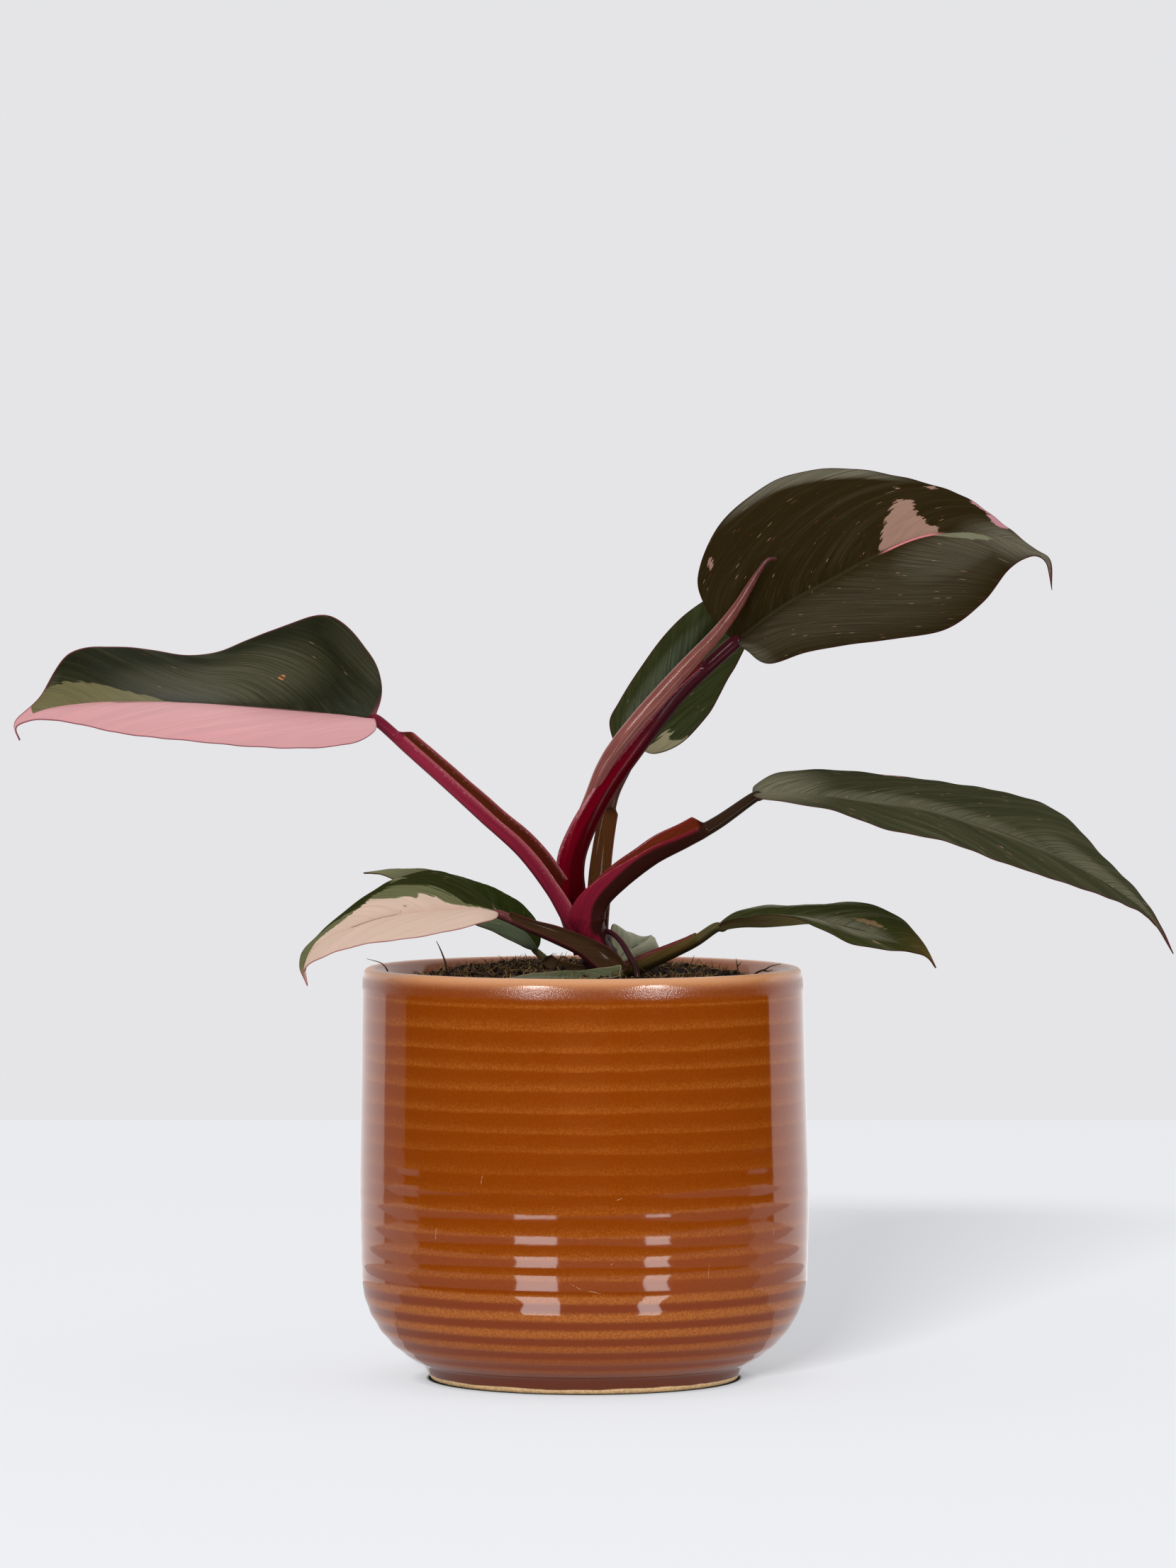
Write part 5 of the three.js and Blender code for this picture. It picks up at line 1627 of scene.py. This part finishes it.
LEAF_9 = Leaf(
    "leaf_9",
    Blade(
        stations=(
            ((11, -20, 128.6),), ((8.5, -23, 127.2), (10.5, -27, 128.4), (11.5, -16, 131.4)),
            ((4, -27, 126.6), (4, -34, 128.2), (7.5, -17, 131)),
            ((-2, -31, 128.2), (-3.5, -39, 128.2), (0, -20, 130.2)),
            ((-8.5, -35, 128.8), (-11.5, -42, 127.8), (-8.5, -25, 130)),
            ((-15, -38, 128.8), (-18, -43, 128), (-16.5, -31, 129.6)), ((-24.5, -41, 128.6),)),
        swell=(0.05, -0.1),
        # The dark base and accent of leaf_9 are painted shade in the hollow where its blade curls at the base
        finish=LeafFinish(
            "leaf_nine", green=tone(88, 92, 64), specular=0.05, tip=tone(110, 100, 78),
            base=tone(60, 56, 40), accent=tone(40, 42, 28), margin=tone(150, 140, 112), sheen=0.3),
        accent=Areas((((-0.1, -1.2), (0.17, -1.2), (0.2, 0.2), (0.12, 0.85), (-0.1, 0.85)),)),
        vein_pitch=2.6, ripple=0.06, seed=9),
    Stalk(
        path=((8, -3, 125.5), (10.8, -11, 127.4), (9.8, -19.3, 128.8)), radius=(2, 1.2),
        half=2.4, rise=1, end=0.7, faces=((0, 0, 1), (0, 0, 1)), finish=OLIVE, seed=9),
    "leaf_pale", "stalk_brown")

LEAVES = (LEAF_1, LEAF_2, LEAF_3, LEAF_4, LEAF_5, LEAF_6, LEAF_7, LEAF_8, LEAF_9)


@dataclass
class Crown:
    """What stands between the leaves: the stem, the rolled new leaf and an aerial root."""

    stem: Rod = field(default_factory=lambda: Rod(
        path=((8, 0, 112), (7.6, 0, 122), (6.2, 0, 130), (3.6, 0.3, 137), (1.4, 0.8, 145), (0.8, 1.2, 151)),
        radius=(6.4, 6.4, 6, 5.2, 4.4, 3.2),
        finish=RodFinish("stem_bark", base=tone(52, 36, 28), middle=tone(60, 34, 32), end=tone(84, 32, 40),
                         streak=tone(92, 66, 48), roughness=0.5, grain=0.3),
        rings=(0.36, 0.5, 0.62, 0.76), ring_height=0.45, lumps=0.05, seed=21))
    new_leaf: Rod = field(default_factory=lambda: Rod(
        path=((-4, 2, 165), (-2, 1.6, 174), (2, 0.2, 183.5), (6.5, -4, 194), (13, -7, 203.5),
              (22.5, -8, 214.5), (33, -8.8, 226), (42, -9.3, 235.5), (48, -9.8, 243.5), (52, -10.2, 250),
              (55, -10.8, 255), (57.5, -11.4, 258.3), (60.5, -12, 259)),
        radius=(1, 1.6, 2, 2.3, 2.5, 2.6, 2.4, 2.1, 1.7, 1.3, 0.9, 0.7, 0.5),
        finish=RodFinish("rolled_new_leaf", base=tone(166, 96, 92), middle=tone(146, 84, 74),
                         end=tone(84, 30, 34),
                         streak=tone(186, 130, 116), roughness=0.35, coat=0.3, grain=0.1),
        overlap=0.16, seam_turn=(0.72, 0.9), lumps=0.025, seed=22))
    root: Rod = field(default_factory=lambda: Rod(
        path=((5, -2.5, 142), (8.5, -4, 141), (11.5, -6.5, 138.5), (14.3, -8.8, 134), (16.2, -9.6, 130),
              (17.2, -10, 123)),
        radius=(0.8, 0.85, 0.9, 0.95, 1.0, 0.9),
        finish=RodFinish("aerial_root", base=tone(92, 36, 48), middle=tone(74, 30, 40), end=tone(70, 46, 36),
                         streak=tone(116, 66, 66), roughness=0.45, grain=0.16),
        lumps=0.09, sides=20, step=0.5, seed=23))

    def build(self) -> None:
        """Makes the three pieces."""
        piece("crown_stem", self.stem.skin(), self.stem.finish.material(), ["stem"])
        piece("rolled_leaf_fine", self.new_leaf.skin(), self.new_leaf.finish.material(),
              ["new_leaf"])
        piece("aerial_root_fine", self.root.skin(), self.root.finish.material(), ["aerial_root"])


# Studio

def around(azimuth: float, reach: float, z: float) -> Point:
    """The place at degrees to the right of the front, a reach from the middle and a height."""
    turn = math.radians(azimuth)
    return (reach * math.sin(turn), -reach * math.cos(turn), z)


def level(x_from: float, x_to: float, y_from: float, y_to: float, z: float) -> tuple[Point, ...]:
    """The corners of a level rectangle."""
    return ((x_from, y_from, z), (x_to, y_from, z), (x_to, y_to, z), (x_from, y_to, z))


class Group(Enum):
    """The groups of objects that the lamps tell apart."""

    FLOOR = "lit_by_low_window"
    CASTER = "shades_the_floor"
    GLAZED = "lit_from_the_front"
    SHINY = "lit_by_tall_lamps"
    PLANTED = "lit_from_above"

    def collection(self) -> bpy.types.Collection:
        """The group, made when it is first asked for."""
        return bpy.data.collections.get(self.value) or bpy.data.collections.new(self.value)


@dataclass(frozen=True)
class Lamp:
    """An area lamp, in watts and metres: a disk, or a rectangle where it has a height.

    Where it names a group, it lights only that group, or only that group draws shadows in its light.
    """

    name: str
    watts: float
    place: Point
    aim: Point
    size: float
    height: Optional[float] = None
    lights: Optional[Group] = None
    shaded_by: Optional[Group] = None
    glossy: bool = True
    diffuse: bool = True

    def build(self) -> None:
        """Makes the lamp."""
        data = bpy.data.lights.new(self.name, "AREA")
        data.energy, data.size, data.shape = self.watts, self.size, "DISK"
        if self.height:
            data.shape, data.size_y = "RECTANGLE", self.height
        made = bpy.data.objects.new(self.name, data)
        bpy.context.scene.collection.objects.link(made)
        made.location = Vector(self.place) * MM
        made.rotation_mode = "QUATERNION"
        made.rotation_quaternion = (Vector(self.aim) - Vector(self.place)).to_track_quat("-Z", "Y")
        made.visible_camera, made.visible_glossy, made.visible_diffuse = False, self.glossy, self.diffuse
        if self.lights:
            made.light_linking.receiver_collection = self.lights.collection()
        if self.shaded_by:
            made.light_linking.blocker_collection = self.shaded_by.collection()


@dataclass
class Studio:
    """A pale floor under a pale wall, even soft light, lamps, and planes that only the glaze mirrors.

    table and table_back are a table's top as the pot mirrors it: rows of azimuth and reach in front, and
    from where to where behind. bands and tall_lamps are pairs of azimuths, and walls and floor_span the
    sides of the mirrored wall's parts and of the floor.
    """

    camera_place: Point = (1.23, -2300, 258)
    camera_tilt: float = 1.748
    lens: float = 167.35
    sensor: float = 36
    clip: Pair = (0.05, 30)
    wall_colour: Colour = tone(229, 229, 231)
    floor_colour: Colour = tone(237, 238, 242)
    sky: float = 0.85
    floor_span: tuple[float, ...] = (-2600, 3400, -1400, 1063)
    floor_glow: float = 0.555
    floor_albedo: float = 0.2
    # The floor's glow inside the painted contact shadow under the pot's foot
    contact_glow: Colour = (0.012, 0.011, 0.008)
    walls: tuple[tuple[str, float, float, float], ...] = (
        ("wall", -467, 724, 1.4), ("wall_left", -1150, -467, 0.4))
    wall_reach: float = 250
    wall_top: float = 1800
    table: Table = (
        (-90, 600), (-60, 500), (-30, 425), (0, 410), (25, 470), (45, 690), (62, 820), (90, 860))
    table_back: Pair = (-900, 1100)
    table_top: float = 0.2
    table_glows: Pair = (0.4, 0.75)
    bands: Table = ((-33, -12.8), (29, 41))
    band_reach: Pair = (118, 415)
    band_top: float = 0.6
    band_taper: float = 0.69
    band_glow: float = 5.8
    tall_lamps: Table = ((-31, -18), (32, 43))
    tall_reach: float = 1500
    window_reach: float = 25000
    window_azimuth: float = -12
    window_elevation: float = 13
    glossy: tuple[str, ...] = ("stalk", "rolled", "root", "leaf_3")

    def build(self) -> None:
        """Makes the stage, the lights and the camera."""
        self.world()
        self.floor()
        self.mirrored()
        for lamp in self.lamps():
            lamp.build()
        self.camera()

    def world(self) -> None:
        """Even light from everywhere that leaves no reflection; the camera sees the wall's colour."""
        world = bpy.data.worlds.new("soft_light")
        world.use_nodes = True
        tree = world.node_tree
        tree.nodes.clear()
        seen, light, mixed, out, path = (tree.nodes.new(f"ShaderNode{kind}") for kind in (
            "Background", "Background", "MixShader", "OutputWorld", "LightPath"))
        seen.inputs["Color"].default_value = (*self.wall_colour, 1)
        light.inputs["Color"].default_value = (1, 1, 1, 1)
        light.inputs["Strength"].default_value = self.sky
        for output, target in ((path.outputs["Is Camera Ray"], mixed.inputs[0]),
                               (light.outputs[0], mixed.inputs[1]), (seen.outputs[0], mixed.inputs[2]),
                               (mixed.outputs[0], out.inputs[0])):
            tree.links.new(output, target)
        bpy.context.scene.world = world
        world.cycles_visibility.glossy = False
        bpy.context.scene.view_settings.view_transform = "Standard"

    @staticmethod
    def plane(name: str, corners: Sequence[Point], material: Material) -> Thing:
        """A flat stage object with these corners in order."""
        mesh = bpy.data.meshes.new(name)
        mesh.from_pydata([tuple(c * MM for c in corner) for corner in corners], [], [range(len(corners))])
        made = bpy.data.objects.new(name, mesh)
        bpy.context.scene.collection.objects.link(made)
        made.data.materials.append(material)
        return made

    def mirror_only(self, name: str, corners: Sequence[Point], material: Material) -> None:
        """A plane that shows only in glossy surfaces, and throws no light or shadow."""
        made = self.plane(f"mirrored_{name}", corners, material)
        made.visible_camera = made.visible_diffuse = made.visible_shadow = False

    @staticmethod
    def glowing(name: str, colour: Colour, strength: float) -> Material:
        """A plain glowing finish."""
        return Shader(f"{name}_glow").finish(Base_Color=(0.0, 0.0, 0.0), Roughness=1.0,
                                             Specular_IOR_Level=0.0,
                                             Emission_Color=colour, Emission_Strength=strength)

    def floor(self) -> None:
        """The floor, with a painted contact shadow: dark close round the pot's foot, in colour and glow."""
        shader = Shader("studio_floor")
        x, y, _ = shader.place().parts()
        away = (x ** 2 + y ** 2) ** 0.5
        # Painted contact shadow round the pot's foot: shade darkens the floor's colour and glow there
        shade = away.step(50.4, 48.8) * 0.75 + away.step(56, 49) * 0.25 + away.step(85, 49) * 0.06
        glow, albedo = (times(self.floor_colour, by) for by in (self.floor_glow, self.floor_albedo))
        made = self.plane("studio_floor", level(*self.floor_span, 0), shader.finish(
            Base_Color=shader.mix(shade, albedo, (0.0, 0.0, 0.0)), Roughness=1.0, Specular_IOR_Level=0.0,
            Emission_Color=shader.mix(shade, glow, self.contact_glow), Emission_Strength=1.0))
        made.visible_glossy = False
        Group.FLOOR.collection().objects.link(made)

    def mirrored(self) -> None:
        """What the glaze mirrors: the wall, a table's top and two bright bands on it."""
        y, top = self.wall_reach, self.wall_top
        for name, left, right, glow in self.walls:
            self.mirror_only(name, ((left, y, 0), (right, y, 0), (right, y, top), (left, y, top)),
                             self.glowing(name, self.wall_colour, glow))
        front, back = (self.glowing(f"table_{side}", self.floor_colour, glow)
                       for side, glow in zip(("front", "back"), self.table_glows))
        self.mirror_only("table_front", [around(*row, self.table_top) for row in self.table], front)
        self.mirror_only("table_back", level(*self.table_back, 0, y, self.table_top), back)
        bright = self.glowing("band", (1.0, 1.0, 1.0), self.band_glow)
        near, far = self.band_reach
        for number, (left, right) in enumerate(self.bands):
            self.mirror_only(f"band_{number}", [
                around(azimuth, reach, self.band_top) for azimuth, reach in (
                    (left * self.band_taper, near), (right * self.band_taper, near), (right, far),
                    (left, far))],
                bright)

    def lamps(self) -> list[Lamp]:
        """A low, wide window that only draws the pot's shadow, two tall lamps and three soft lights."""
        rise = self.window_reach * math.tan(math.radians(self.window_elevation))
        window = Lamp("low_window", 38000, around(self.window_azimuth, self.window_reach, rise), (0, 0, 0),
                      6.6, 0.9, lights=Group.FLOOR, shaded_by=Group.CASTER)
        tall = [Lamp(f"tall_lamp_{number}", 11, around((left + right) / 2, self.tall_reach, 500), (0, 0, 120),
                     self.tall_reach * math.radians(right - left) * MM, 0.5, lights=Group.SHINY,
                     diffuse=False)
                for number, (left, right) in enumerate(self.tall_lamps)]
        return [window, *tall,
                Lamp("front_fill", 5, (-700, -1500, 1500), (0, 0, 180), 1.4, glossy=False),
                Lamp("pot_front", 10, (0, -1500, 110), (0, 0, 70), 0.7, lights=Group.GLAZED, glossy=False),
                Lamp("soft_top", 4.5, (-200, -700, 1900), (0, 0, 200), 1.2, lights=Group.PLANTED)]

    def light(self, pot: Thing, plant: Iterable[Thing]) -> None:
        """Puts the pot and what stands in it into the groups that the lamps tell apart."""
        for group in (Group.CASTER, Group.GLAZED, Group.SHINY):
            group.collection().objects.link(pot)
        for thing in plant:
            Group.PLANTED.collection().objects.link(thing)
            if any(word in thing.name for word in self.glossy):
                Group.SHINY.collection().objects.link(thing)

    def camera(self) -> None:
        """The photograph's view."""
        data = bpy.data.cameras.new("camera")
        data.lens, data.sensor_width, data.sensor_fit = self.lens, self.sensor, "AUTO"
        data.clip_start, data.clip_end = self.clip
        made = bpy.data.objects.new("camera", data)
        bpy.context.scene.collection.objects.link(made)
        made.location = tuple(c * MM for c in self.camera_place)
        made.rotation_euler = (math.radians(90 - self.camera_tilt), 0, 0)
        bpy.context.scene.camera = made


def main() -> None:
    """Builds the studio, then the pot, the soil, the crown and the leaves."""
    logging.basicConfig(level=logging.INFO, format="%(message)s")
    studio = Studio()
    studio.build()
    pot = Pot().build()
    before = set(bpy.data.objects)
    Soil().build()
    Crown().build()
    for leaf in LEAVES:
        leaf.build()
    studio.light(pot, sorted(set(bpy.data.objects) - before, key=lambda thing: thing.name))


if __name__ == "__main__":
    main()
